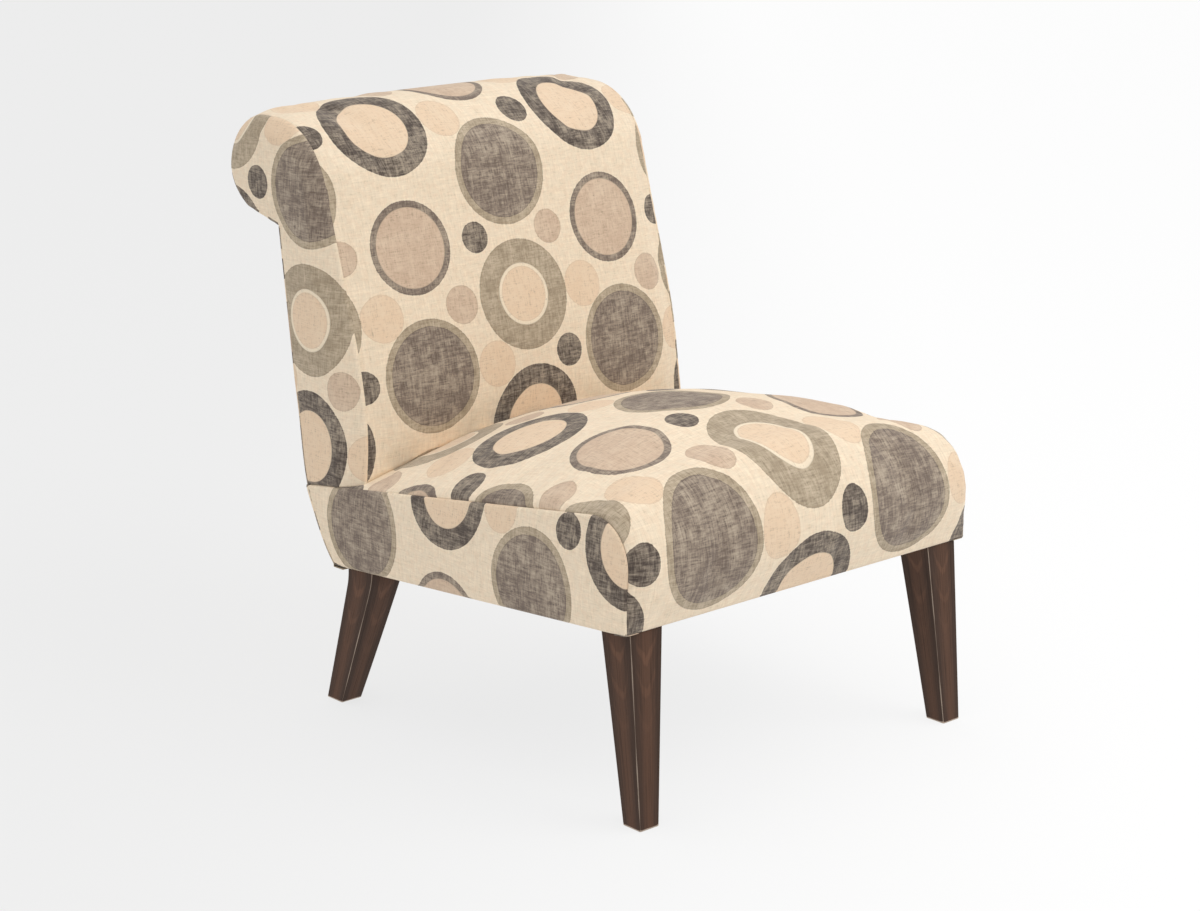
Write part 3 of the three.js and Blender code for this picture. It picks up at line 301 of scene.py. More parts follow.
def seat_line(s, depth):
    """Height of the seat's side seam behind the nose."""
    pitch = math.atan2(s.seat_fall, s.seat_run)
    end = s.nose_radius + s.nose_radius * math.sin(pitch)
    top = s.nose_top - s.nose_radius + s.nose_radius * math.cos(pitch)
    return top - (depth - end) * math.tan(pitch)


def seat_path(s):
    """The seat's side seam: up the front, round the nose and down the sloping top."""
    front, _, _ = underside(s)
    pitch = math.atan2(s.seat_fall, s.seat_run)
    centre = np.array([s.nose_radius, s.nose_top - s.nose_radius])
    end = centre + s.nose_radius * np.array([math.sin(pitch), math.cos(pitch)])
    rear = s.back_front + s.panel_past_back
    return Path(
        line(front, (0, centre[1])),
        arc(centre, s.nose_radius, math.pi, math.pi / 2 - pitch),
        line(end, (rear, seat_line(s, rear))))


def back_path(s):
    """The back's front seam: up the bent front, over the shoulder and round the roll to the neck."""
    lean = s.back_lean
    centre = np.array([s.back_front + s.back_bend, s.back_upright])
    out = np.array([-math.cos(lean), math.sin(lean)])
    start = centre + s.back_bend * out
    top = s.back_top - s.shoulder_radius * (1 - math.sin(lean))
    end = np.array([start[0] + (top - start[1]) * math.tan(lean), top])
    shoulder = end - out * s.shoulder_radius
    roll = np.array([s.roll_centre, s.back_top - s.roll_radius])
    last = math.pi / 2 - s.roll_turn
    roll_end = roll + s.roll_radius * np.array([math.cos(last), math.sin(last)])
    return Path(
        line((s.back_front, seat_line(s, s.back_front)), (s.back_front, s.back_upright)),
        arc(centre, s.back_bend, math.pi, math.pi - lean),
        line(start, end),
        arc(shoulder, s.shoulder_radius, math.pi - lean, math.pi / 2),
        line((shoulder[0], s.back_top), (roll[0], s.back_top)),
        arc(roll, s.roll_radius, math.pi / 2, last),
        line(roll_end, neck_point(s)))


def neck_point(s):
    """Where the roll's underside meets the outside back."""
    last = math.pi / 2 - s.roll_turn
    y = s.roll_centre + s.roll_radius * math.cos(last)
    z = s.back_top - s.roll_radius + s.roll_radius * math.sin(last)
    return np.array([s.neck, z + (y - s.neck) * math.cos(last) / math.sin(last)])


def rear_path(s):
    """The rear outline: straight down from the neck, then curved in to the heel."""
    neck = neck_point(s)
    straight = np.array([s.rear_straight_start, s.rear_straight_height])
    along = (straight - neck) / np.linalg.norm(straight - neck)
    _, heel, _ = underside(s)
    pull = np.array([math.cos(s.heel_angle), math.sin(s.heel_angle)]) * s.heel_handle
    corners = np.stack([straight, straight + along * s.rear_handle, heel + pull, heel])
    t = np.linspace(0, 1, 300)[:, None]
    weights = np.concatenate([(1 - t) ** 3, 3 * t * (1 - t) ** 2, 3 * t * t * (1 - t), t ** 3], 1)
    points = weights @ corners
    return Path(line(neck, straight), (points, turned(np.gradient(points, axis=0) /
                np.linalg.norm(np.gradient(points, axis=0), axis=1)[:, None])))


# Surfaces

def graded(reach, fine, coarse, growth=1.35):
    """Places from 0 to reach, close together at both ends and a coarse step apart between."""
    steps = [0.0]
    step = fine
    while step < coarse and steps[-1] + step < reach / 3:
        steps.append(steps[-1] + step)
        step *= growth
    ends = np.array(steps)
    middle = np.linspace(ends[-1], reach - ends[-1], max(2, math.ceil((reach - 2 * ends[-1]) / coarse) + 1))
    return np.concatenate([ends[:-1], middle, reach - ends[-2::-1]])


def patch(bottom, top, front, rear, s, t, hold=3):
    """A sheet between four edges: straight rungs from the front edge to the rear edge, bowed near
    its ends to follow the bottom and the top edge. The bow fades with a power of the share."""
    s, t = s[None, :, None], t[:, None, None]
    rungs = front[:, None] * (1 - s) + rear[:, None] * s
    low = bottom[None] - (front[:1, None] * (1 - s) + rear[:1, None] * s)
    high = top[None] - (front[-1:, None] * (1 - s) + rear[-1:, None] * s)
    return rungs + (1 - t) ** hold * low + t ** hold * high


def nearest_on(places, outline):
    """For each place in the side plane, its least distance to the straight steps of an outline, and
    how far along the outline that is, as a share of its length."""
    step = np.diff(outline, axis=0)
    real = (step ** 2).sum(-1) > 0
    start, step = outline[:-1][real], step[real]
    squares = (step ** 2).sum(-1)
    long = np.sqrt(squares)
    before = np.cumsum(long) - long
    least, along = [], []
    for row in places:
        away = row[:, None] - start
        share = np.clip((away * step).sum(-1) / squares, 0, 1)
        gap = np.linalg.norm(away - share[..., None] * step, axis=-1)
        at = gap.argmin(-1)
        column = np.arange(len(row))
        least.append(gap[column, at])
        along.append((before[at] + share[column, at] * long[at]) / long.sum())
    return np.stack(least), np.stack(along)


def distance(places, outline):
    """Least distance from each place in the side plane to an outline."""
    return nearest_on(places, outline)[0]


def turn_in(away, radius):
    """How deep cloth lies at a distance from its seam: a quarter circle down into the groove."""
    inside = np.clip(radius - away, 0, radius)
    return radius - np.sqrt(np.maximum(radius ** 2 - inside ** 2, 0))


def puckers(way, c):
    """Uneven waves along a seam, from -1 to 1: a sum of sines whose lengths share no multiple."""
    lengths = np.array([0.0171, 0.0233, 0.0317, 0.0471])
    weights = np.array([0.2, 0.3, 0.3, 0.2])
    phases = np.array([0.3, 1.9, 4.1, 5.3])
    waves = np.sin(2 * math.pi * way[..., None] / lengths + phases)
    return c.pucker_height * (waves * weights).sum(-1)


def smooth(value, start, stop):
    """An eased step from 0 at start to 1 at stop."""
    share = np.clip((value - start) / (stop - start), 0, 1)
    return share * share * (3 - 2 * share)


def normals(grid):
    """Unit directions square to a grid surface: across by along."""
    along, across = np.gradient(grid, axis=0), np.gradient(grid, axis=1)
    out = np.cross(across, along)
    return out / np.maximum(np.linalg.norm(out, axis=-1, keepdims=True), 1e-12)


def cells(rows, columns, start=0):
    """The four corners of every cell of a grid of points that are numbered row by row."""
    at = start + np.arange(rows * columns).reshape(rows, columns)
    corners = [at[:-1, :-1], at[:-1, 1:], at[1:, 1:], at[1:, :-1]]
    return np.stack(corners, -1).reshape(-1, 4)


def shell(outer, inner):
    """Points and four-cornered faces of the closed body between two grids of the same size."""
    rows, columns = outer.shape[:2]
    count = rows * columns
    at = np.arange(count).reshape(rows, columns)
    border = np.concatenate([at[0, :-1], at[:-1, -1], at[-1, :0:-1], at[:0:-1, 0]])
    after = np.roll(border, -1)
    rim = np.stack([after, border, border + count, after + count], -1)
    face = cells(rows, columns)
    points = np.concatenate([outer.reshape(-1, 3), inner.reshape(-1, 3)])
    return points, [np.concatenate([face, face[:, ::-1] + count, rim])]


def volume(points, faces):
    """Signed volume inside closed faces, over the fan of triangles of each."""
    total = 0
    for face in faces:
        for k in range(1, face.shape[1] - 1):
            a, b, c = (points[face[:, n]] for n in (0, k, k + 1))
            total += (a * np.cross(b, c)).sum()
    return total / 6


def area(grid):
    """Area of a grid surface, from the diagonals of its cells."""
    one = grid[1:, 1:] - grid[:-1, :-1]
    other = grid[1:, :-1] - grid[:-1, 1:]
    return np.linalg.norm(np.cross(one, other), axis=-1).sum() / 2


def piece(name, points, faces, material, uv=None, uv_name="cloth", sharp=55, same=None):
    """A new object at the origin from points and lists of faces, turned to face outwards. Points
    that lie on each other are made one where same gives each point the number of its first."""
    if volume(points, faces) < 0:
        faces = [face[:, ::-1] for face in faces]
    corners = np.concatenate([face.ravel() for face in faces])
    sizes = np.concatenate([np.full(len(face), face.shape[1]) for face in faces])
    places = None if uv is None else uv[corners]
    if same is not None:
        used, corners = np.unique(same[corners], return_inverse=True)
        points = points[used]
    mesh = bpy.data.meshes.new(name)
    mesh.vertices.add(len(points))
    mesh.vertices.foreach_set("co", points.astype(np.float32).ravel())
    mesh.loops.add(len(corners))
    mesh.loops.foreach_set("vertex_index", corners.astype(np.int32))
    mesh.polygons.add(len(sizes))
    mesh.polygons.foreach_set("loop_start", (np.cumsum(sizes) - sizes).astype(np.int32))
    mesh.update(calc_edges=True)
    if uv is not None:
        layer = mesh.uv_layers.new(name=uv_name)
        layer.data.foreach_set("uv", places.astype(np.float32).ravel())
    mesh.shade_smooth()
    mesh.set_sharp_from_angle(angle=math.radians(sharp))
    mesh.materials.append(material)
    obj = bpy.data.objects.new(name, mesh)
    bpy.context.scene.collection.objects.link(obj)
    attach(obj, "root")
    return obj


def cloth_piece(name, grid, uv, thickness, slot="printed_linen"):
    """A sheet of cloth: the grid is its outer face, and its inner face lies a thickness inside."""
    points, faces = shell(grid, grid - thickness * normals(grid))
    obj = piece(name, points, faces, finish_named(slot), np.concatenate([uv.reshape(-1, 2)] * 2))
    return obj


def mirrored(grid, sign):
    """The grid on one side of the chair, from the one on the right."""
    return grid * np.array([sign, 1, 1])


def in_frame(x, side):
    """Points in the frame from places across and rows of depth and height."""
    return np.stack([np.broadcast_to(x, side.shape[:-1]), side[..., 0] + FRONT, side[..., 1]], -1)


def straight_between(places, stations):
    """Matrix that takes values at rising stations to values at places, straight between them."""
    low = np.clip(np.searchsorted(stations, places) - 1, 0, len(stations) - 2)
    share = (places - stations[low]) / (stations[low + 1] - stations[low])
    matrix = np.zeros((len(places), len(stations)))
    matrix[np.arange(len(places)), low] = 1 - share
    matrix[np.arange(len(places)), low + 1] = share
    return matrix


def eased_between(places, stations):
    """The same for even stations, along a smooth curve: the cubic B-spline's weights."""
    t = abs(places[:, None] - stations[None]) / (stations[1] - stations[0])
    near = 2 / 3 - t ** 2 + t ** 3 / 2
    weights = np.where(t < 1, near, np.clip(2 - t, 0, None) ** 3 / 6)
    return weights / weights.sum(1, keepdims=True)


def blown_up(name, grid, held, v):
    """How far each point of a cushion's cloth moves when it is blown up from behind. Blender's cloth
    works on an even, coarser copy of the grid, cut a little larger, with inner pressure and no
    weight, and held from 0 to 1 at each point. The way each point of the copy went, no further than
    the cap, is carried back to the grid along smooth curves."""
    steps = [np.linalg.norm(np.diff(grid, axis=n), axis=-1).mean(1 - n) for n in (0, 1)]
    fine = [np.concatenate([[0], np.cumsum(step)]) for step in steps]
    even = [np.linspace(0, f[-1], int(f[-1] / v.mesh) + 1) for f in fine]
    down, across = (straight_between(e, f) for e, f in zip(even, fine))
    start = np.einsum("ij,jkl,mk->iml", down, grid, across)
    hold = np.einsum("ij,jk,mk->im", down, held, across)
    rows, columns = start.shape[:2]
    mesh = bpy.data.meshes.new(name)
    mesh.from_pydata(start.reshape(-1, 3).tolist(), [], cells(rows, columns).tolist())
    obj = bpy.data.objects.new(name, mesh)
    scene = bpy.context.scene
    scene.collection.objects.link(obj)
    group = obj.vertex_groups.new(name="held")
    levels = np.round(hold.ravel() * 20).astype(int)
    for level in np.unique(levels):
        group.add(np.nonzero(levels == level)[0].tolist(), level / 20, "REPLACE")
    cloth = obj.modifiers.new("cloth", "CLOTH")
    cloth.settings.quality = 6
    cloth.settings.vertex_group_mass = "held"
    cloth.settings.use_pressure = True
    cloth.settings.uniform_pressure_force = v.pressure
    cloth.settings.shrink_min = -v.slack
    cloth.settings.effector_weights.gravity = 0
    cloth.point_cache.frame_end = v.frames
    for number in range(1, v.frames + 1):
        scene.frame_set(number)
    worked = obj.evaluated_get(bpy.context.evaluated_depsgraph_get()).data
    end = np.empty(rows * columns * 3, np.float32)
    worked.vertices.foreach_get("co", end)
    scene.frame_set(1)
    bpy.data.objects.remove(obj)
    move = end.reshape(start.shape) - start
    far = np.linalg.norm(move, axis=-1, keepdims=True)
    move = move * np.minimum(1, v.cap / np.maximum(far, 1e-9))
    down, across = (eased_between(f, e) for e, f in zip(even, fine))
    moved = np.einsum("ij,jkl,mk->iml", down, move, across)
    return moved * (1 - held[..., None])


def padded_out(grid, u):
    """The grid drawn wider with the padding at the sides: across by a share that eases from none at
    the slim height to the fullness at the full height."""
    wider = 1 + u.fullness / HALF * smooth(grid[..., 2], u.slim_height, u.full_height)
    return grid * np.stack([wider, np.ones_like(wider), np.ones_like(wider)], -1)


# Materials

class Socket:
    """An output of a shader node. Arithmetic on it adds Math nodes to its material."""

    def __init__(self, finish, output):
        self.finish, self.output = finish, output

    def math(self, operation, *values, clamp=False):
        """The result of a Math node on this and other values."""
        inputs = dict(enumerate((self,) + values))
        return self.finish.node("Math", {"operation": operation, "use_clamp": clamp}, inputs)

    def __add__(self, other):
        return self.math("ADD", other)

    def __sub__(self, other):
        return self.math("SUBTRACT", other)

    def __mul__(self, other):
        return self.math("MULTIPLY", other)

    def __truediv__(self, other):
        return self.math("DIVIDE", other)

    def __rsub__(self, other):
        return (self * -1) + other

    def __neg__(self):
        return self * -1

    def __abs__(self):
        return self.math("ABSOLUTE")

    def __pow__(self, other):
        return self.math("POWER", other)

    __radd__ = __add__
    __rmul__ = __mul__

    def step(self, start, stop, low=0.0, high=1.0):
        """An eased step from low at start to high at stop."""
        inputs = {"Value": self, "From Min": start, "From Max": stop, "To Min": low, "To Max": high}
        return self.finish.node("MapRange", {"interpolation_type": "SMOOTHSTEP"}, inputs)


class Finish:
    """A material and its nodes. One method adds any node, and constants sit on the shader."""

    def __init__(self, name, **constants):
        self.material = bpy.data.materials.new(name)
        self.material.use_nodes = True
        self.tree = self.material.node_tree
        self.shader = self.tree.nodes["Principled BSDF"]
        sockets = {socket.name.lower().replace(" ", "_"): socket for socket in self.shader.inputs}
        for name, value in constants.items():
            sockets[name].default_value = value

    def feed(self, socket, value):
        """Links a socket, or sets its value. Three numbers fill a colour's first three."""
        if isinstance(value, Socket):
            self.tree.links.new(value.output, socket)
        elif hasattr(value, "__len__") and len(value) == 3 and socket.type == "RGBA":
            socket.default_value = (*value, 1)
        else:
            socket.default_value = value

    def node(self, kind, settings=None, inputs=None, output=0):
        """A new node of a type, with its settings made first, then the values of its sockets."""
        node = self.tree.nodes.new("ShaderNode" + kind)
        for name, value in (settings or {}).items():
            setattr(node, name, value)
        for name, value in (inputs or {}).items():
            self.feed(node.inputs[name], value)
        return Socket(self, node.outputs[output])

    def mix(self, a, b, factor):
        """A colour between two colours."""
        return self.node("Mix", {"data_type": "RGBA"}, {0: factor, 6: a, 7: b}, output=2)

    def vector(self, operation, *values, output=0):
        """The result of a Vector Math node."""
        return self.node("VectorMath", {"operation": operation}, dict(enumerate(values)), output)

    def noise(self, place, scale, detail=2.0, roughness=0.5, distortion=0.0):
        """Noise from 0 to 1, with its own scale along each axis of the place."""
        stretched = self.vector("MULTIPLY", place, scale)
        return self.node("TexNoise", None, {
            "Vector": stretched, "Scale": 1.0, "Detail": detail, "Roughness": roughness,
            "Distortion": distortion})

    def split(self, place, output):
        """One number of a vector: 0, 1 or 2."""
        return self.node("SeparateXYZ", None, {0: place}, output)

    def surface(self, colour=None, roughness=None, height=None, bump=0.0):
        """Links what varies over the surface. Height is in metres, times the bump's strength."""
        if colour is not None:
            self.feed(self.shader.inputs["Base Color"], colour)
        if roughness is not None:
            self.feed(self.shader.inputs["Roughness"], roughness)
        if height is not None:
            inputs = {"Strength": bump, "Distance": 0.001, "Height": height}
            self.feed(self.shader.inputs["Normal"], self.node("Bump", None, inputs))
        return self.material


# Motifs of the print. Each has its places in the lattice, in pitches, and its rings from the
# outside in, each ring an ink and a share of the large radius.
RING_MOTIF = ("charcoal", 1.0), ("peach", 0.64)
DISC_MOTIF = ("taupe", 1.0), ("cream", 0.56), ("peach", 0.50)
STONE_MOTIF = ("taupe", 1.0), ("stone", 0.87)
HOOP_MOTIF = ("stone", 0.84), ("pink", 0.72)
motif_shares = (
    (RING_MOTIF, ((0, 0), (1, 2.5))), (DISC_MOTIF, ((0, 1), (1, 3.5))),
    (STONE_MOTIF, ((0, 2), (1, 0.5))), (HOOP_MOTIF, ((0, 3), (1, 1.5))))
dot_shares = (
    ("charcoal", 0.95, (0.375, 0.5)), ("pink", 1.1, (1.375, 1)), ("peach", 1.35, (0.625, 1)),
    ("peach", 1.3, (1.625, 0.5)), ("pink", 1.0, (0.375, 1.5)), ("charcoal", 0.9, (1.625, 1.5)))


def printed_linen():
    """Linen printed with plain rings and discs. Two layers of stretched noise give the threads
    and slubs each way, and where they stand high the ink is thin and the ground shows through."""
    p = bpy.context.scene.print_settings
    finish = Finish("printed_linen", roughness=0.9, specular_ior_level=0.22, sheen_weight=0.18,
                    sheen_roughness=0.5)
    place = finish.node("UVMap", {"uv_map": "cloth"})
    warp = finish.noise(place, (680, 95, 1), detail=3, roughness=0.65)
    weft = finish.noise(place, (95, 680, 1), detail=3, roughness=0.65)
    slubs = finish.noise(place, (300, 34, 1), detail=2)
    cross_slubs = finish.noise(place, (34, 300, 1), detail=2)
    clouds = finish.noise(place, (62, 62, 1), detail=4, roughness=0.62)
    patches = finish.noise(place, (15, 15, 1), detail=2)
    tint = finish.noise(place, (110, 110, 1), detail=3)
    threads = warp + weft - 1.0
    streaks = slubs + cross_slubs - 1.0
    paleness = threads * 1.1 + streaks * 0.9 + (clouds - 0.5) * 1.5 + (patches - 0.5) * 0.9
    thin = paleness.step(-0.45, 0.75)

    warmer = finish.mix(p.ground, tuple(c * f for c, f in zip(p.ground, (1.0, 0.955, 0.93))),
                        tint.step(0.42, 0.62) * 0.75)
    light = finish.mix(warmer, tuple(min(c * 1.1, 1) for c in p.ground), (threads + streaks).step(0.0, 0.4))
    ground = finish.mix(light, tuple(c * f for c, f in zip(p.ground, (0.78, 0.76, 0.71))),
                        (threads * -1.0 - streaks * 0.5).step(0.0, 0.45) * 0.9)
    jitter = threads * 0.0012 + streaks * 0.0008
    pitch = p.pitch

    def reach(centre, across, along):
        """Distance to the nearest copy of a motif in a lattice."""
        away = finish.vector("SUBTRACT", place, (centre[0] * pitch, centre[1] * pitch, 0))
        half = (across * pitch / 2, along * pitch / 2, 0.5)
        near = finish.vector("WRAP", away, half, tuple(-h for h in half))
        return finish.vector("LENGTH", near, output=1)

    def inked(under, ink, away, radius):
        """A disc of ink over a colour: thin where the threads stand high, dark between them, and
        a little darker at its very edge."""
        base = getattr(p, ink)
        washed_out = tuple(b + 0.46 * (g - b) for b, g in zip(base, p.ground))
        pressed = tuple(c * 0.55 for c in base)
        shaded = finish.mix(finish.mix(base, washed_out, thin), pressed,
                            (threads * -1.0 - streaks * 0.4).step(0.0, 0.42) * 0.7)
        depth = (away + jitter) * -1.0 + radius
        rimmed = finish.mix(shaded, tuple(c * 0.8 for c in base), depth.step(0.0016, 0.0002) * 0.5)
        return finish.mix(under, rimmed, depth.step(-0.0004, 0.0004))

    colour = ground
    for ink, share, centre in dot_shares:
        colour = inked(colour, ink, reach(centre, 2, 2), p.dot_radius * share)
    for rings, (first, second) in motif_shares:
        away = reach(first, 2, 4).math("MINIMUM", reach(second, 2, 4))
        for ink, share in rings:
            colour = inked(colour, ink, away, p.large_radius * share)

    across = finish.split(place, 0)
    along = finish.split(place, 1)
    weave = 2 * math.pi / 0.0013
    over = (across * weave).math("SINE") * (along * weave).math("SINE")
    height = over * 0.25 + threads * 0.8 + streaks * 0.5
    return finish.surface(colour, threads.step(-0.4, 0.4, 0.84, 0.95), height, bump=0.4)


def stained_wood():
    """Dark stained wood for the legs. The UV map counts the leg's faces across and metres down
    it. Streaks are noise drawn out along the grain, with nested arches near the top."""
    g = bpy.context.scene.leg_sizes
    finish = Finish("stained_wood", specular_ior_level=0.12, coat_weight=0.03, coat_roughness=0.35)
    place = finish.node("UVMap", {"uv_map": "grain"})
    around, down = finish.split(place, 0), finish.split(place, 1)
    middle = abs(around.math("FRACT") - 0.5) * 2.0
    streaks = finish.noise(place, (26, 9, 1), detail=5, roughness=0.62, distortion=0.6)
    pores = finish.noise(place, (95, 34, 1), detail=2)
    blotches = finish.noise(place, (2.3, 14, 1), detail=3)
    arches = ((down * 150.0 + middle * middle * 9.0 + blotches * 6.0).math("SINE") * 0.5 + 0.5)
    band = (middle + (streaks - 0.5) * 0.9).step(0.85, 0.05)
    colour = finish.mix(g.espresso, g.chestnut, band * 0.7)
    colour = finish.mix(colour, tuple(c * 1.45 for c in g.chestnut),
                        arches.step(0.72, 1.0) * down.step(0.16, 0.02) * band * 0.5)
    colour = finish.mix(colour, tuple(c * 0.5 for c in g.espresso), streaks.step(0.5, 0.72) * 0.55)
    colour = finish.mix(colour, tuple(c * 0.4 for c in g.espresso), pores.step(0.62, 0.74) * 0.6)
    # Paler colour along the leg's corners and round its foot's bottom rim, broken up by noise
    worn = finish.node("Attribute", {"attribute_name": "worn"}, output=2)
    pale_mask = (worn + (streaks - 0.5) * 0.5 + (blotches - 0.5) * 0.4).step(0.7, 0.98)
    colour = finish.mix(colour, g.worn, pale_mask * 0.85)
    rough = streaks.step(0.3, 0.7, 0.42, 0.6) + pale_mask * 0.2
    return finish.surface(colour, rough, streaks * 0.5 - pores * 0.4, bump=0.25)


def sawn_wood():
    """Plain sawn hardwood of the frame: growth rings across the grain and fine saw marks."""
    finish = Finish("frame_wood", specular_ior_level=0.3)
    place = finish.node("TexCoord", output=3)
    rings = finish.noise(place, (60, 8, 60), detail=4, distortion=0.4)
    marks = finish.noise(place, (12, 420, 420), detail=2)
    colour = finish.mix((0.58, 0.40, 0.22), (0.42, 0.26, 0.13), rings.step(0.35, 0.7))
    colour = finish.mix(colour, (0.30, 0.18, 0.09), marks.step(0.6, 0.8) * 0.4)
    return finish.surface(colour, rings.step(0.2, 0.8, 0.62, 0.82), rings + marks * 0.5, bump=0.3)


def speckled(name, light, dark, scale, roughness, bump, **constants):
    """A plain finish that mottles between two colours, for board, felt, webbing and cloth."""
    finish = Finish(name, **constants)
    place = finish.node("TexCoord", output=3)
    coarse = finish.noise(place, (scale, scale, scale), detail=4, roughness=0.6)
    fine = finish.noise(place, (scale * 6, scale * 6, scale * 6), detail=2)
    colour = finish.mix(light, dark, (coarse * 0.6 + fine * 0.4).step(0.35, 0.65))
    rough = coarse.step(0.3, 0.7, roughness - 0.06, roughness + 0.06)
    return finish.surface(colour, rough, coarse * 0.5 + fine * 0.5, bump=bump)


def bare_metal(name, colour, tarnish, roughness, metallic=1.0):
    """Wire or sheet metal: dull drawn metal with darker stains."""
    finish = Finish(name, metallic=metallic)
    place = finish.node("TexCoord", output=3)
    stains = finish.noise(place, (90, 90, 90), detail=4)
    lines = finish.noise(place, (900, 60, 900), detail=2)
    mixed = finish.mix(colour, tarnish, stains.step(0.45, 0.75))
    return finish.surface(mixed, lines.step(0.2, 0.8, roughness - 0.1, roughness + 0.12), lines, bump=0.1)


FINISHES = {}


def finish_named(name):
    """The finish of a material slot, made once."""
    makers = {
        "printed_linen": printed_linen,
        "stained_wood": stained_wood,
        "frame_wood": sawn_wood,
        "foam": lambda: speckled("foam", (0.82, 0.74, 0.52), (0.72, 0.62, 0.40), 160, 0.9, 0.5),
        "felt": lambda: speckled("felt", (0.22, 0.21, 0.20), (0.45, 0.42, 0.38), 120, 0.95, 0.6),
        "jute_webbing": lambda: speckled("jute_webbing", (0.50, 0.36, 0.20), (0.34, 0.23, 0.12), 300, 0.9, 0.6),
        "cardboard": lambda: speckled("cardboard", (0.36, 0.29, 0.20), (0.29, 0.22, 0.15), 60, 0.85, 0.2),
        "dust_cloth": lambda: speckled("dust_cloth", (0.012, 0.012, 0.013), (0.03, 0.03, 0.032), 500, 0.85, 0.5),
        "spring_steel": lambda: bare_metal("spring_steel", (0.30, 0.30, 0.31), (0.12, 0.10, 0.09), 0.42),
        "zinc_steel": lambda: bare_metal("zinc_steel", (0.62, 0.63, 0.65), (0.42, 0.42, 0.43), 0.34),
        "glide_plastic": lambda: speckled("glide_plastic", (0.02, 0.018, 0.017), (0.035, 0.03, 0.028), 200, 0.5, 0.15),
    }
    if name not in FINISHES:
        FINISHES[name] = makers[name]()
    return FINISHES[name]


# Pieces

def settings(context):
    """The chair's, the cushions' and the cloth's sizes."""
    scene = context.scene
    return scene.chair_sizes, scene.cushion_sizes, scene.cloth_sizes


def rise(share, x, inside, edge_rise, edge_width, edge_table, crown_rise, crown_table):
    """How far a panel stands above its seams: an edge that rises fast and levels off, and a crown
    that falls with the square of the distance from the middle. Tables scale both along the way."""
    edge = edge_rise * (1 - np.exp(-np.maximum(inside - abs(x), 0) / edge_width))
    crown = crown_rise * np.maximum(1 - (x / inside) ** 2, 0)
    return edge * np.interp(share, *edge_table) + crown * np.interp(share, *crown_table)


def seat_surface(s, u, way, x, inside):
    """The seat's panel: its side seam pushed out by the rise, at distances and places across."""
    path = seat_path(s)
    lift = rise(way / path.length, x, inside, u.seat_edge_rise, u.seat_edge_width, seat_edge_shares,
                u.seat_crown, seat_crown_shares)
    side, out = path.at(np.broadcast_to(way, lift.shape))
    return in_frame(x, side + out * lift[..., None])


def seat_top_at(s, u, x, depth, inside):
    """Height of the seat's panel at places across and their depths, looked up along each column."""
    path = seat_path(s)
    way = np.linspace(path.length * 0.4, path.length, 200)[:, None]
    grid = seat_surface(s, u, way, x[None], inside)
    return np.array([np.interp(d + FRONT, y, z) for d, y, z in zip(depth, grid[..., 1].T, grid[..., 2].T)])


def hem_outline(corner, down, before, c):
    """Points of cloth turned under the frame, from its raw edge out to the corner and round it."""
    lifted = corner - down * c.hem_lift
    bend, _ = rounded_corner(lifted, down, before, c.seam_turn)
    run = np.linspace(c.hem_depth, 0, 6)[:-1, None]
    inward = bend[0] - bend[1]
    return np.concatenate([bend[0] + run * inward / np.linalg.norm(inward), bend[:-1]])


def deck(s, u, share, x):
    """The felt over the springs, from the front rail to the rear rail: parallel to the underside,
    arched as a half sine, and down on the rails at the sides."""
    front, heel, down = underside(s)
    depth = u.rail_inset + (s.rear_corner - 2 * u.rail_inset) * share
    floor = front + (heel - front) * ((depth - front[0]) / (heel[0] - front[0]))[..., None]
    flat = 1 - smooth(abs(x), 0.8 * HALF, HALF - u.rail_width)
    arch = u.deck_arch * (0.22 + 0.78 * np.sin(math.pi * share)) * flat
    return in_frame(x, floor - down * (u.deck_height + arch)[..., None])


def stuffed(context, name, grid, to_hold):
    """How far the cushion's cloth moves when it is stuffed, with its distance to what holds it."""
    v = context.scene.stuffing_settings
    held = v.foam_hold + (1 - v.foam_hold) * smooth(to_hold, v.hold_reach, 0)
    return blown_up(name, grid, held, v)


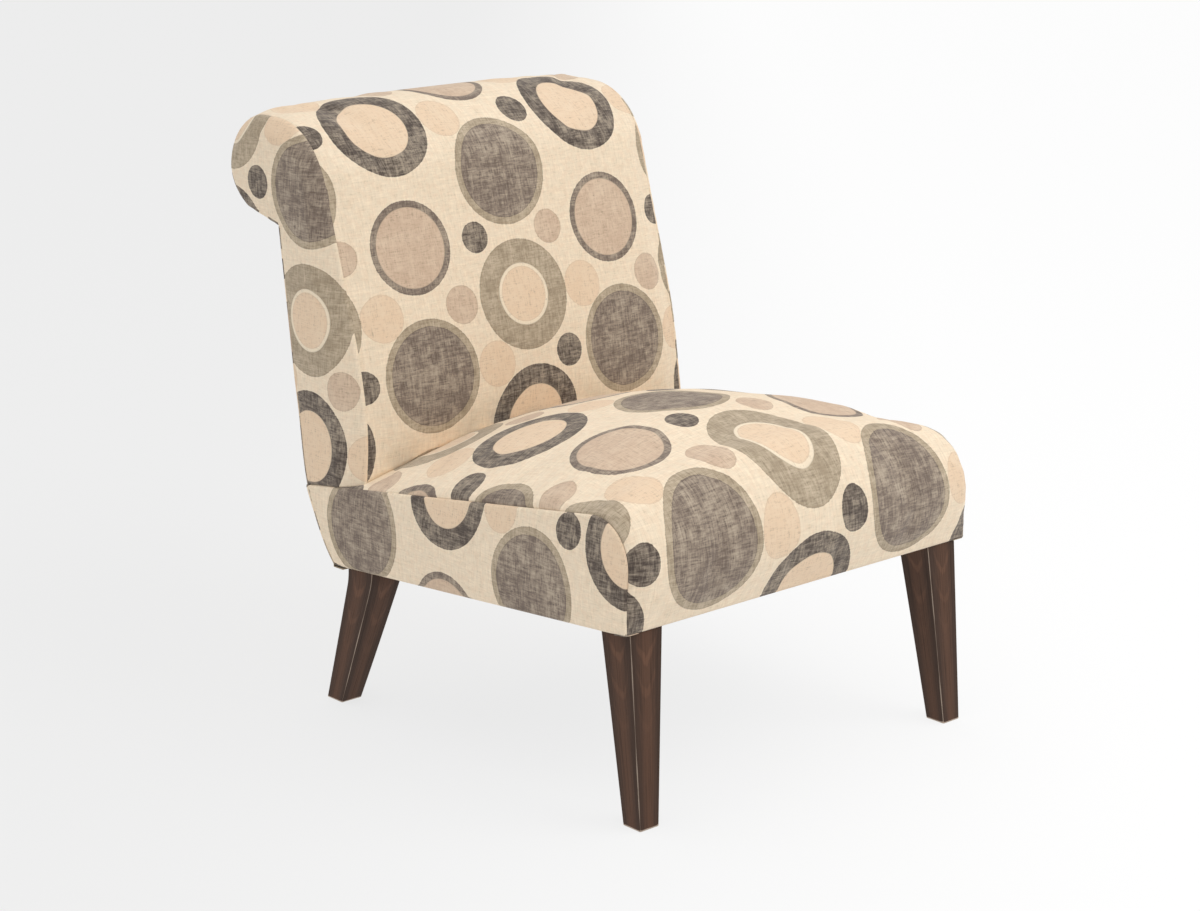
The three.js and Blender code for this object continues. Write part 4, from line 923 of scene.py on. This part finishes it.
class CHAIR_OT_seat_cushion(bpy.types.Operator):
    """Makes the sprung seat: one waterfall panel over its foam, crowned and sewn in at the sides"""
    bl_idname = "chair.seat_cushion"
    bl_label = "Seat cushion"

    def execute(self, context):
        s, u, c = settings(context)
        inside = HALF - 2 * c.thickness
        path = seat_path(s)
        x = graded(2 * inside, c.seam_step, c.mesh_step)[None] - inside
        way = graded(path.length, c.seam_step, c.mesh_step)
        way = way[way > 1.2 * c.seam_turn][:, None]
        grid = seat_surface(s, u, way, x, inside)
        away = inside - abs(x)
        ripple = puckers(way, c) * np.exp(-away / c.pucker_reach) * smooth(away, 0, c.seam_turn)
        grid = grid + normals(grid) * (ripple - turn_in(away, c.seam_turn))[..., None]

        front, _, down = underside(s)
        hem = hem_outline(front, down, np.array([-1.0, 0.0]), c)
        hem = in_frame(x, np.repeat(hem[:, None], x.shape[1], 1))
        hem_way = np.linspace(-c.hem_depth - c.seam_turn, way[0, 0], len(hem), endpoint=False)
        outer = np.concatenate([hem, grid])
        v = np.concatenate([hem_way[:, None], way])
        uv = np.stack(np.broadcast_arrays(x, v), -1)

        corner = path.nearest(np.array([s.nose_radius * 0.29, s.nose_top - s.nose_radius * 0.29]))
        past = np.clip((way - corner) / (path.length - corner), 0, 1)
        core = deck(s, u, *np.broadcast_arrays(past, x))
        floor = s.front_underside + 2 * c.thickness + c.hem_lift
        lower = np.clip(way / corner, 0, 1)
        core[..., 2] = floor + (core[..., 2] - floor) * lower
        inner = np.concatenate([hem + c.thickness * UP_AXIS, core])
        v_all = np.broadcast_to(v, outer.shape[:2])
        under_back = path.nearest(np.array([s.back_front, seat_line(s, s.back_front)]))
        to_hold = np.minimum(np.minimum(inside - abs(x), v_all), under_back - v_all)
        outer = outer + stuffed(context, "seat_cloth", outer, to_hold)
        points, faces = shell(padded_out(outer, u), padded_out(inner, u))
        obj = piece("seat_cushion", points, faces, finish_named("printed_linen"),
                    np.concatenate([uv.reshape(-1, 2)] * 2))
        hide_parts("seat_foam", "seat_top_cover")
        return {"FINISHED"}


def edge_of_back(u, share):
    """Along the front seam: how far it lies in from the side, how far from it the side starts to
    come in, and the share of the rear wrap."""
    wrapped = np.interp(share, *wrap_shares)
    reach = u.taper_reach + (u.shoulder_reach - u.taper_reach) * np.interp(share, *shoulder_shares)
    return u.seam_drop * (1 - wrapped), reach, wrapped


def back_surface(s, u, way, x, inside, widest):
    """The inside back's panel: the front seam pushed out by the rise. At the roll it widens."""
    path = back_path(s)
    lift = rise(way / path.length, x, inside, u.back_edge_rise, u.back_edge_width, back_edge_shares,
                u.back_crown, back_crown_shares)
    side, out = path.at(np.broadcast_to(way, lift.shape))
    wider = 1 + (widest / inside - 1) * edge_of_back(u, way / path.length)[2]
    return in_frame(x * wider, side + out * lift[..., None])


class CHAIR_OT_back_cushion(bpy.types.Operator):
    """Makes the padded back: one panel up the front, over the roll and under it to the neck"""
    bl_idname = "chair.back_cushion"
    bl_label = "Back cushion"

    def execute(self, context):
        s, u, c = settings(context)
        inside = HALF - u.seam_drop - 2 * c.thickness
        path = back_path(s)
        across = graded(2 * inside, c.seam_step, c.mesh_step) - inside
        x = across[None]
        front = s.back_front - rise(np.array(0), across, inside, u.back_edge_rise, u.back_edge_width,
                                    back_edge_shares, u.back_crown, back_crown_shares)
        start = seat_top_at(s, u, across, front, HALF) - c.tuck - path.points[0, 1]
        share = graded(path.length, c.seam_step, c.mesh_step)[:, None] / path.length
        way = start + (path.length - start) * share
        grid = back_surface(s, u, way, x, inside, HALF - c.thickness)
        wrapped = edge_of_back(u, way / path.length)[2]
        sunk = turn_in(inside - abs(x), c.seam_turn + (c.wrap - c.seam_turn) * wrapped)
        sunk = np.maximum(sunk, turn_in(way - start, c.crease))
        sunk = np.maximum(sunk, turn_in(path.length - way, c.seam_turn))
        ripple = 0.6 * puckers(way, c) * np.exp(-(inside - abs(x)) / c.pucker_reach)
        outer = grid + normals(grid) * (ripple - sunk)[..., None]
        to_hold = np.minimum(np.minimum(inside - abs(x), way - start), path.length - way)
        outer = outer + stuffed(context, "back_cloth", outer, to_hold)
        foam = s.roll_foam + (s.back_foam - s.roll_foam) * (1 - smooth(way / path.length, 0.3, 0.55))
        side, out = path.at(way)
        inner = in_frame(x, side - out * foam[..., None])
        points, faces = shell(padded_out(outer, u), padded_out(inner, u))
        uv = np.stack(np.broadcast_arrays(x, way + 0.62), -1).reshape(-1, 2)
        obj = piece("back_cushion", points, faces, finish_named("printed_linen"),
                    np.concatenate([uv] * 2))
        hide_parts("back_foam", "roll_foam", "inside_back_cover")
        return {"FINISHED"}


def drawn_in(path, way, depth):
    """Points along a path, moved in from it by a depth."""
    side, out = path.at(way)
    return side - out * depth


def crossing(s):
    """Where the line of the seat's side seam meets the rear outline: the distance down that."""
    path = rear_path(s)
    above = path.points[:, 1] - seat_line(s, path.points[:, 0])
    return path, path.way[np.argmax(above < 0)]


def side_hem(grid, down, c):
    """Rows of cloth that turn under the frame, from the raw edge out to the panel's first row."""
    turn = np.linspace(math.pi / 2, 0, 6)[:-1]
    into = np.concatenate([np.linspace(c.hem_depth, c.seam_turn, 5)[:-1],
                           c.seam_turn * (1 - np.cos(turn))])
    low = c.seam_turn * np.concatenate([np.ones(4), np.sin(turn)])
    step = np.stack([-into, low * down[0], low * down[1]], -1)
    return grid[:1] + step[:, None]


class CHAIR_OT_side_panels(bpy.types.Operator):
    """Makes the four side panels: two of the seat and two of the back with the roll's ends"""
    bl_idname = "chair.side_panels"
    bl_label = "Side panels"

    def seat_side(self, s, u, c):
        """A flat panel from the underside to the seat's seam, swollen a little between its seams."""
        seam, (rear, cross) = seat_path(s), crossing(s)
        _, _, down = underside(s)
        foot = c.seam_turn + c.hem_lift
        nose = seam.nearest(np.array([s.nose_radius * 0.29, s.nose_top - s.nose_radius * 0.29]))
        seam_end = seam.length + np.linalg.norm(rear.at(np.array(cross))[0] - seam.points[-1])
        reach = s.rear_corner - s.hem_setback
        share = graded(reach, c.seam_step, c.mesh_step) / reach
        height = nose - foot
        rows = graded(height, c.seam_step, c.mesh_step) / height
        front = seam.at(foot + height * rows)[0]
        back = drawn_in(rear, rear.length - foot - (rear.length - foot - cross) * rows, c.wrap)
        low, high = front[0], back[0]
        bottom = low + (high - low) * share[:, None]
        top_way = nose + (seam_end - nose) * share
        top = seam.at(top_way)[0]
        flat = patch(bottom, top, front, back, share, rows)
        to_seam = distance(flat, np.concatenate([front, top]))
        to_rear = distance(flat, back)
        to_edge = np.minimum(np.minimum(to_seam, to_rear), distance(flat, bottom))
        ripple = puckers(top_way, c)[None] * np.exp(-distance(flat, top) / c.pucker_reach)
        swell = u.side_bulge * (1 - np.exp(-to_edge / 0.025))
        x = HALF + swell + 0.8 * ripple * smooth(to_seam, 0, c.seam_turn)
        x = x - np.maximum(turn_in(to_seam, c.seam_turn), turn_in(to_rear, c.rear_turn))
        grid = in_frame(x, flat)
        hem = side_hem(grid, down, c)
        grid = np.concatenate([hem, grid])
        side = grid[..., 1:]
        uv = side.copy()
        uv[:len(hem), :, 1] -= np.linspace(c.hem_depth, 0, len(hem), endpoint=False)[:, None]
        return grid, uv

    def front_seam(self, s, u, c, way):
        """The edge of the back's side panel along the front seam, drawn in where the cloth behind
        the roll comes round."""
        seam = back_path(s)
        side, out = seam.at(way)
        return side - out * (c.wrap * edge_of_back(u, way / seam.length)[2])[..., None]

    def back_side(self, s, u, c):
        """The panel beside the back. Rungs run from the front seam to the rear outline, and over
        the neck they fan out to the roll's underside. The front edge comes in to the seam."""
        seam, (rear, cross) = back_path(s), crossing(s)
        under = seam.nearest(np.array([s.roll_centre + s.roll_radius * math.cos(-0.2),
                                       s.back_top - s.roll_radius * (1 - math.sin(-0.2))]))
        over = seam.nearest(np.array([s.roll_centre + s.roll_radius * 0.5,
                                      s.back_top - s.roll_radius * (1 - 0.866)]))
        rows = graded(over, c.seam_step, 0.8 * c.mesh_step) / over
        width = s.neck - s.back_front
        fine = 0.4 * c.seam_step
        share = graded(width, fine, 0.8 * c.mesh_step) / width
        front = seam.at(over * rows)[0]
        back_length = cross + seam.length - under
        back_way = back_length * rows
        low_part = drawn_in(rear, cross - np.minimum(back_way, cross), c.wrap)
        high_part = self.front_seam(s, u, c, seam.length - np.maximum(back_way - cross, 0))
        back = np.where((back_way < cross)[:, None], low_part, high_part)
        top = self.front_seam(s, u, c, over + (under - over) * share)
        bottom = front[0] + (back[0] - front[0]) * share[:, None]
        flat = patch(bottom, top, front, back, share, rows)
        front_seam = self.front_seam(s, u, c, np.linspace(0, seam.length, 500))
        rear_seam = drawn_in(rear, np.linspace(0, cross, 150), c.wrap)
        to_front, along = nearest_on(flat, front_seam)
        to_rear = distance(flat, rear_seam)
        to_seat = distance(flat, bottom)
        drop, reach, wrapped = edge_of_back(u, along)
        taper = drop * np.clip(1 - to_front / reach, 0, 1) ** 1.3
        to_edge = np.minimum(np.minimum(to_front, to_rear), to_seat)
        swell = u.side_bulge * (1 - np.exp(-to_edge / 0.025))
        groove = c.seam_turn + (c.rear_turn - c.seam_turn) * wrapped
        sunk = np.maximum(turn_in(np.minimum(to_front, to_seat), groove), turn_in(to_rear, c.rear_turn))
        ripple = 0.6 * puckers(over * rows, c)[:, None] * np.exp(-to_front / c.pucker_reach)
        ripple = ripple * smooth(to_edge, 0, c.seam_turn)
        grid = in_frame(HALF - taper + swell + ripple - sunk, flat)
        return grid, flat.copy()

    def execute(self, context):
        s, u, c = settings(context)
        for kind, (grid, uv) in (("seat", self.seat_side(s, u, c)), ("back", self.back_side(s, u, c))):
            for side, sign in (("left", -1), ("right", 1)):
                placed = uv * np.array([sign, 1]) + np.array([0.11 * (sign + 2), 0.07])
                full = padded_out(mirrored(grid, sign)[:, ::sign], u)
                obj = cloth_piece(f"{kind}_side_{side}", full, placed[:, ::sign], c.thickness)
                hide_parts(f"{kind}_side_cover_{side}")
                area(grid)
        return {"FINISHED"}


class CHAIR_OT_outside_back(bpy.types.Operator):
    """Makes the panel behind the back, from the neck down to the heel and under the frame"""
    bl_idname = "chair.outside_back"
    bl_label = "Outside back"

    def execute(self, context):
        s, u, c = settings(context)
        path = rear_path(s)
        inside = HALF
        x = graded(2 * inside, c.seam_step, c.mesh_step)[None] - inside
        way = graded(path.length, c.seam_step, c.mesh_step)
        way = way[way < path.length - 1.2 * c.seam_turn][:, None]
        side, out = path.at(np.broadcast_to(way, (len(way), x.shape[1])))
        away = inside - abs(x)
        sunk = np.maximum(turn_in(away, c.wrap), turn_in(way, c.seam_turn))
        swell = 0.5 * u.side_bulge * (1 - np.exp(-np.minimum(away, way) / 0.03))
        grid = in_frame(x, side + out * (swell - sunk)[..., None])
        _, heel, down = underside(s)
        hem = hem_outline(heel, down, path.outward[-1], c)[::-1]
        hem = in_frame(x, np.repeat(hem[:, None], x.shape[1], 1))
        grid = np.concatenate([grid, hem])
        hem_way = path.length + np.linspace(0, c.hem_depth + c.seam_turn, len(hem) + 1)[1:]
        v = np.concatenate([way, hem_way[:, None]])
        uv = np.stack(np.broadcast_arrays(-x, 1.3 - v), -1)
        obj = cloth_piece("outside_back", padded_out(grid, u), uv, c.thickness)
        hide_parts("outside_back_cover")
        return {"FINISHED"}


def square_ring(half, edge):
    """Round a square bar with rounded corners: the two offsets of each point from the middle, its
    place counted in faces, and how near to a corner it lies. A face runs from the middle of one
    rounded corner to the middle of the next, and the four faces are turns of the first."""
    flat = half - edge
    turn = np.linspace(0, math.pi / 4, 5)
    corner = np.stack([flat + edge * np.sin(turn), flat + edge * np.cos(turn)], -1)
    straight = np.linspace(-flat, flat, 12)[1:-1]
    face = np.concatenate([
        corner[::-1] * [-1, 1], np.stack([straight, np.full(10, half)], -1), corner])
    share = (face[:, 0] + half) / (2 * half)
    worn = np.clip(1 - (half - abs(face[:, 0])) / (2.6 * edge), 0, 1)
    points, around, paleness = [], [], []
    for k in range(4):
        c, s = math.cos(-k * math.pi / 2), math.sin(-k * math.pi / 2)
        points.append((face @ np.array([[c, s], [-s, c]]))[:-1])
        around.append((k + share)[:-1])
        paleness.append(worn[:-1])
    points, around, paleness = (np.concatenate(part) for part in (points, around, paleness))
    return np.concatenate([points, points[:1]]), np.append(around, 4.0), np.append(paleness, paleness[0])


def capped(rings):
    """Points and faces of a bar through rings of points whose last point is their first again,
    closed by a fan at each end, and which points are the same."""
    rows, columns = rings.shape[:2]
    count = rows * columns
    points = np.concatenate([rings.reshape(-1, 3), rings[0, :-1].mean(0)[None], rings[-1, :-1].mean(0)[None]])
    at = np.arange(columns - 1)
    last = (rows - 1) * columns
    first_cap = np.stack([np.full(columns - 1, count), at + 1, at], -1)
    last_cap = np.stack([np.full(columns - 1, count + 1), last + at, last + at + 1], -1)
    same = np.arange(count + 2)
    same[columns - 1:count:columns] -= columns - 1
    return points, [cells(rows, columns), np.concatenate([first_cap, last_cap])], same


class CHAIR_OT_legs(bpy.types.Operator):
    """Makes the four square tapered legs with rounded corners, paler along the corners and round the foot's bottom rim
    """
    bl_idname = "chair.legs"
    bl_label = "Legs"

    def leg(self, s, g, sign, end):
        """Rings down a leg. It narrows evenly, its outer face stays upright, and its middle moves
        to the foot: straight on a front leg, eased over the bend on a rear leg."""
        front, heel, _ = underside(s)
        slope = (s.front_underside - s.rear_underside) / (s.rear_corner - s.hem_setback)
        top_middle = g.inset + g.top / 2 if end < 0 else s.rear_corner - g.rear_from_corner - g.top / 2
        splay, bend, foot = (g.front_splay, 0, g.foot) if end < 0 else (g.rear_splay, g.rear_bend, g.rear_foot)
        gap = 0.0003

        def leg_top(y):
            return s.front_underside - (y - s.hem_setback) * slope - gap

        def ease(depth):
            return np.where(depth < bend, depth ** 2 / (2 * max(bend, gap)), depth - bend / 2)

        height = leg_top(top_middle) - g.glide
        bevel = 0.6 * g.edge
        rim = 2.2 * g.edge
        ends = height - np.array([rim, rim / 2, bevel, bevel / 2, 0])
        depth = np.concatenate([np.linspace(0, height - 2 * rim, 58), ends])
        travel = end * (g.top / 2 + splay - foot / 2)
        middle = top_middle + travel * ease(depth) / ease(np.array(height))
        narrow = np.concatenate([np.zeros(61), [0.3 * bevel, bevel]])
        rings, around, paleness = [], [], []
        for d, m, n in zip(depth, middle, narrow):
            half = (g.top + (foot - g.top) * d / height) / 2 - n
            ring, faces, worn = square_ring(half, g.edge)
            y = m + ring[:, 1]
            z = leg_top(y) + (g.glide - leg_top(y)) * d / height
            x = sign * (HALF - g.inset - half - n) + ring[:, 0]
            rings.append(np.stack([x, y + FRONT, z], -1))
            around.append(faces)
            # Paler towards the corners and round the foot's bottom rim
            paleness.append(np.maximum(worn, np.clip(2 * (1 - (height - d) / rim), 0, 1)))
        uv = np.stack(np.broadcast_arrays(np.stack(around), depth[:, None]), -1)
        return np.stack(rings), uv, np.stack(paleness)

    def execute(self, context):
        s, g = context.scene.chair_sizes, context.scene.leg_sizes
        for row, end in (("front", -1), ("rear", 1)):
            for side, sign in (("left", -1), ("right", 1)):
                rings, uv, paleness = self.leg(s, g, sign, end)
                uv = uv + np.array([8 * (end + 1) + 4 * (sign + 1), 0])
                points, faces, same = capped(rings)
                ends = np.array([uv[0, 0], uv[-1, 0]])
                obj = piece(f"tapered_leg_{row}_{side}", points, faces, finish_named("stained_wood"),
                            np.concatenate([uv.reshape(-1, 2), ends]), "grain", 40, same)
                layer = obj.data.attributes.new("worn", "FLOAT", "POINT")
                worn = np.append(paleness.ravel(), [0, 0])[np.unique(same)]
                layer.data.foreach_set("value", worn.astype(np.float32))
                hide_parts(f"leg_{row}_{side}")
        return {"FINISHED"}


class CHAIR_OT_suspension(bpy.types.Operator):
    """Makes the felt over the springs and the webbing across the back posts"""
    bl_idname = "chair.suspension"
    bl_label = "Felt and webbing"

    def execute(self, context):
        s, u, c = settings(context)
        felt = 0.003
        share = np.linspace(0.02, 0.98, 60)[:, None]
        x = np.linspace(-1, 1, 80)[None] * (HALF - u.rail_width - felt)
        share, x = np.broadcast_arrays(share, x)
        grid = deck(s, u, share, x) - np.array([0, 0, felt])
        grid[..., 2] += 0.0006 * np.cos(2 * math.pi * x / 0.110) * np.sin(math.pi * share)
        obj = cloth_piece("spring_felt", grid, np.stack([x, share * 0.5], -1), felt / 2, "felt")
        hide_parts("spring_insulator")
        width = x[0, -1] - x[0, 0]
        min(area(grid), width * s.rear_corner)
        for k in (1, 2, 3):
            low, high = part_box(f"back_webbing_{k}")
            start, end = np.array([low.y, low.z]), np.array([high.y, high.z])
            rows = np.linspace(0.04, 0.96, 24)[:, None, None]
            side = start + (end - start) * rows
            x = np.linspace(-1, 1, 120)[None] * (HALF - 2 * c.thickness)
            side = np.repeat(side, x.shape[1], 1)
            grid = np.stack([np.broadcast_to(x, side.shape[:2]), side[..., 0], side[..., 1]], -1)
            height = np.linalg.norm(grid[-1, 0] - grid[0, 0])
            ribs = 0.0003 * np.sin(rows[..., 0] * 18 * math.pi)
            grid = grid + normals(grid) * np.broadcast_to(ribs, side.shape[:2])[..., None]
            uv = np.stack(np.broadcast_arrays(x, rows[..., 0] * height), -1)
            obj = cloth_piece(f"jute_webbing_{k}", grid, uv, felt / 3, "jute_webbing")
            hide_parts(f"back_webbing_{k}")
        return {"FINISHED"}


class CHAIR_OT_dust_cover(bpy.types.Operator):
    """Makes the black cloth under the frame, folded at its edges, and the staples that hold it"""
    bl_idname = "chair.dust_cover"
    bl_label = "Dust cover"

    def staples(self, place, along, down, half_x, depth):
        """Staple crowns along the four edges: bars with their long side along the edge."""
        crown, wire, pitch = 0.010, 0.0011, 0.042
        clear = 0.058
        points, faces = [], []

        def bar(x, y, across):
            long_x, long_y = (crown, wire) if across else (wire, crown)
            corners = np.array([[a, b, d] for d in (0, 1) for b in (-0.5, 0.5) for a in (-0.5, 0.5)])
            local = np.stack([x + corners[:, 0] * long_x, y + corners[:, 1] * long_y], -1)
            side = place + local[:, 1:] * along + (corners[:, 2:] * 0.0007 - 0.0001) * down
            start = len(points) * 8
            points.append(np.stack([local[:, 0], side[:, 0] + FRONT, side[:, 1]], -1))
            quads = [[0, 2, 3, 1], [4, 5, 7, 6], [0, 1, 5, 4], [2, 6, 7, 3], [0, 4, 6, 2], [1, 3, 7, 5]]
            faces.append(np.array(quads) + start)

        for y in (0.006, depth - 0.006):
            for x in np.arange(-half_x + clear, half_x - clear + 0.001, pitch):
                bar(x, y, True)
        for x in (-half_x + 0.006, half_x - 0.006):
            for y in np.arange(clear, depth - clear, pitch):
                bar(x, y, False)
        return np.concatenate(points), [np.concatenate(faces)]

    def execute(self, context):
        s, u, c = settings(context)
        front, heel, down = underside(s)
        along = (heel - front) / np.linalg.norm(heel - front)
        inset, lift, fold = 0.009, 0.0003, 0.012
        start = front + along * inset - down * lift
        depth = np.linalg.norm(heel - front) - 2 * inset
        half_x = HALF - inset
        x = graded(2 * half_x, 0.001, 0.012)[None] - half_x
        y = graded(depth, 0.001, 0.012)[:, None]
        x, y = np.broadcast_arrays(x, y)
        to_edge = np.minimum(half_x - abs(x), np.minimum(y, depth - y))
        sag = 0.004 * smooth(to_edge, 0.03, 0.2)
        ridge = -0.0004 * smooth(to_edge, fold + 0.001, fold)
        ripple = 0.0007 * np.sin(x * 95 + 1.3 * np.sin(y * 21)) * np.sin(y * 60) * smooth(to_edge, 0.01, 0.08)
        side = start + y[..., None] * along + (sag + ridge + ripple)[..., None] * down
        grid = in_frame(x, side)[:, ::-1]
        obj = cloth_piece("bottom_cloth", grid, np.stack([x, y], -1)[:, ::-1], 0.0004, "dust_cloth")
        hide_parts("dust_cover")
        points, faces = self.staples(start, along, down, half_x, depth)
        staples = piece("bottom_staples", points, faces, finish_named("zinc_steel"), sharp=20)
        return {"FINISHED"}


# The finish of each of the frame's own nodes, by how its name starts
NODE_FINISHES = {
    ("seat_front_rail", "seat_back_rail", "seat_side_rail", "back_post", "back_tack_rail",
     "back_top_rail", "corner_block"): "frame_wood",
    ("seat_spring", "spring_tie_wire"): "spring_steel",
    ("spring_clip", "hanger_bolt", "t_nut"): "zinc_steel",
    ("scroll_board",): "cardboard",
    ("glide",): "glide_plastic",
}


class CHAIR_OT_frame_finishes(bpy.types.Operator):
    """Gives the frame's own nodes, the wood, springs, clips and bolts, their finishes"""
    bl_idname = "chair.frame_finishes"
    bl_label = "Frame finishes"

    def execute(self, context):
        for starts, slot_name in NODE_FINISHES.items():
            for name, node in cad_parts.items():
                if name.startswith(starts):
                    for slot in node.material_slots:
                        slot.material = finish_named(slot_name)
        return {"FINISHED"}


class CHAIR_OT_stage(bpy.types.Operator):
    """Makes the floor, the soft lights and the camera"""
    bl_idname = "chair.stage"
    bl_label = "Stage"

    def stand_by(self, name, points, faces, finish):
        """A part of the stage, from points and faces."""
        mesh = bpy.data.meshes.new(name)
        mesh.from_pydata(points.tolist(), [], faces)
        mesh.materials.append(finish)
        obj = bpy.data.objects.new(name, mesh)
        bpy.context.scene.collection.objects.link(obj)
        return obj

    def lit_floor(self, v):
        """A pale floor that glows like a light table, so that shadows on it stay faint. It grows
        lighter from the camera's left to its right."""
        finish = Finish("studio_floor", roughness=0.95, specular_ior_level=0.0)
        place = finish.node("TexCoord", output=3)
        right = (math.cos(v.camera_turn), math.sin(v.camera_turn), 0)
        across = finish.vector("DOT_PRODUCT", place, right, output=1)
        tone = finish.mix(v.floor_left, v.floor_right, across.step(-0.75, 0.75))
        finish.feed(finish.shader.inputs["Emission Color"], tone)
        finish.shader.inputs["Emission Strength"].default_value = 1 - v.floor_shade
        finish.shader.inputs["Base Color"].default_value = (v.floor_shade,) * 3 + (1,)
        return finish.material

    def overhead(self, tree, background, strength):
        """Sky light in proportion to how high each direction points."""
        place = tree.nodes.new("ShaderNodeTexCoord")
        height = tree.nodes.new("ShaderNodeSeparateXYZ")
        tree.links.new(place.outputs["Generated"], height.inputs[0])
        scaled = tree.nodes.new("ShaderNodeMath")
        scaled.operation, scaled.use_clamp = "MULTIPLY", False
        tree.links.new(height.outputs["Z"], scaled.inputs[0])
        scaled.inputs[1].default_value = strength
        above = tree.nodes.new("ShaderNodeMath")
        above.operation = "MAXIMUM"
        above.inputs[1].default_value = 0
        tree.links.new(scaled.outputs[0], above.inputs[0])
        tree.links.new(above.outputs[0], background.inputs["Strength"])

    def light(self, name, place, target, size, power, tint):
        """A large soft square light that looks at a target."""
        data = bpy.data.lights.new(name, "AREA")
        data.shape, data.size, data.energy, data.color = "SQUARE", size, power, tint
        obj = bpy.data.objects.new(name, data)
        obj.location = place
        toward = np.array(target) - np.array(place)
        flat = math.hypot(toward[0], toward[1])
        obj.rotation_euler = (math.atan2(flat, -toward[2]), 0, math.atan2(-toward[0], toward[1]))
        bpy.context.scene.collection.objects.link(obj)

    def execute(self, context):
        scene, v = context.scene, context.scene.stage_settings
        sides = 64
        turn = np.arange(sides) * 2 * math.pi / sides
        rim = np.stack([v.floor_reach * np.cos(turn), v.floor_reach * np.sin(turn), 0 * turn], -1)
        finish = self.lit_floor(v)
        self.stand_by("floor", rim, [list(range(sides))], finish)
        high = rim + np.array([0, 0, v.backdrop_height])
        at = np.arange(sides)
        after = np.roll(at, -1)
        wall = np.stack([after, at, at + sides, after + sides], -1)
        backdrop = self.stand_by("backdrop", np.concatenate([rim, high]), wall.tolist(), finish)
        backdrop.visible_diffuse = backdrop.visible_glossy = False
        backdrop.visible_transmission = backdrop.visible_shadow = False

        world = bpy.data.worlds.new("studio")
        world.use_nodes = True
        background = world.node_tree.nodes["Background"]
        background.inputs["Color"].default_value = (1, 1, 1, 1)
        self.overhead(world.node_tree, background, v.sky)
        scene.world = world
        middle = (0, 0, 0.45)
        self.light("key", (1.6, -2.6, 2.6), middle, 2.4, v.key, (1, 0.985, 0.96))
        self.light("fill", (-2.2, -0.3, 0.35), middle, 1.2, v.fill, (1, 0.99, 0.98))

        camera = bpy.data.cameras.new("camera")
        camera.lens, camera.sensor_width, camera.clip_end = v.lens, 36, 200
        obj = bpy.data.objects.new("camera", camera)
        obj.location = (v.camera_side, v.camera_depth + FRONT, v.camera_height)
        obj.rotation_euler = (math.pi / 2 - v.camera_fall, 0, v.camera_turn)
        scene.collection.objects.link(obj)
        scene.camera = obj
        scene.view_settings.view_transform = "Standard"
        return {"FINISHED"}


OPERATORS = (
    CHAIR_OT_stage, CHAIR_OT_seat_cushion, CHAIR_OT_back_cushion, CHAIR_OT_side_panels,
    CHAIR_OT_outside_back, CHAIR_OT_legs, CHAIR_OT_suspension, CHAIR_OT_dust_cover,
    CHAIR_OT_frame_finishes)


class CHAIR_PT_panel(bpy.types.Panel):
    """The chair's steps and sizes"""
    bl_label = "Slipper chair"
    bl_idname = "CHAIR_PT_panel"
    bl_space_type = "VIEW_3D"
    bl_region_type = "UI"
    bl_category = "Chair"

    def draw(self, context):
        for operator in OPERATORS:
            self.layout.operator(operator.bl_idname)
        for name, group in SETTINGS.items():
            box = self.layout.box()
            box.label(text=name.replace("_", " ").capitalize())
            for key in group.__annotations__:
                box.prop(getattr(context.scene, name), key)


CLASSES = (*SETTINGS.values(), *OPERATORS, CHAIR_PT_panel)


def register():
    """Registers the classes and hangs the settings on the scene."""
    for cls in CLASSES:
        bpy.utils.register_class(cls)
    for name, group in SETTINGS.items():
        setattr(bpy.types.Scene, name, bpy.props.PointerProperty(type=group))


def unregister():
    """Undoes register."""
    for name in SETTINGS:
        delattr(bpy.types.Scene, name)
    for cls in reversed(CLASSES):
        bpy.utils.unregister_class(cls)


def main():
    """Builds the whole chair."""
    register()
    for operator in OPERATORS:
        group, name = operator.bl_idname.split(".")
        getattr(getattr(bpy.ops, group), name)()


if __name__ == "__main__":
    main()
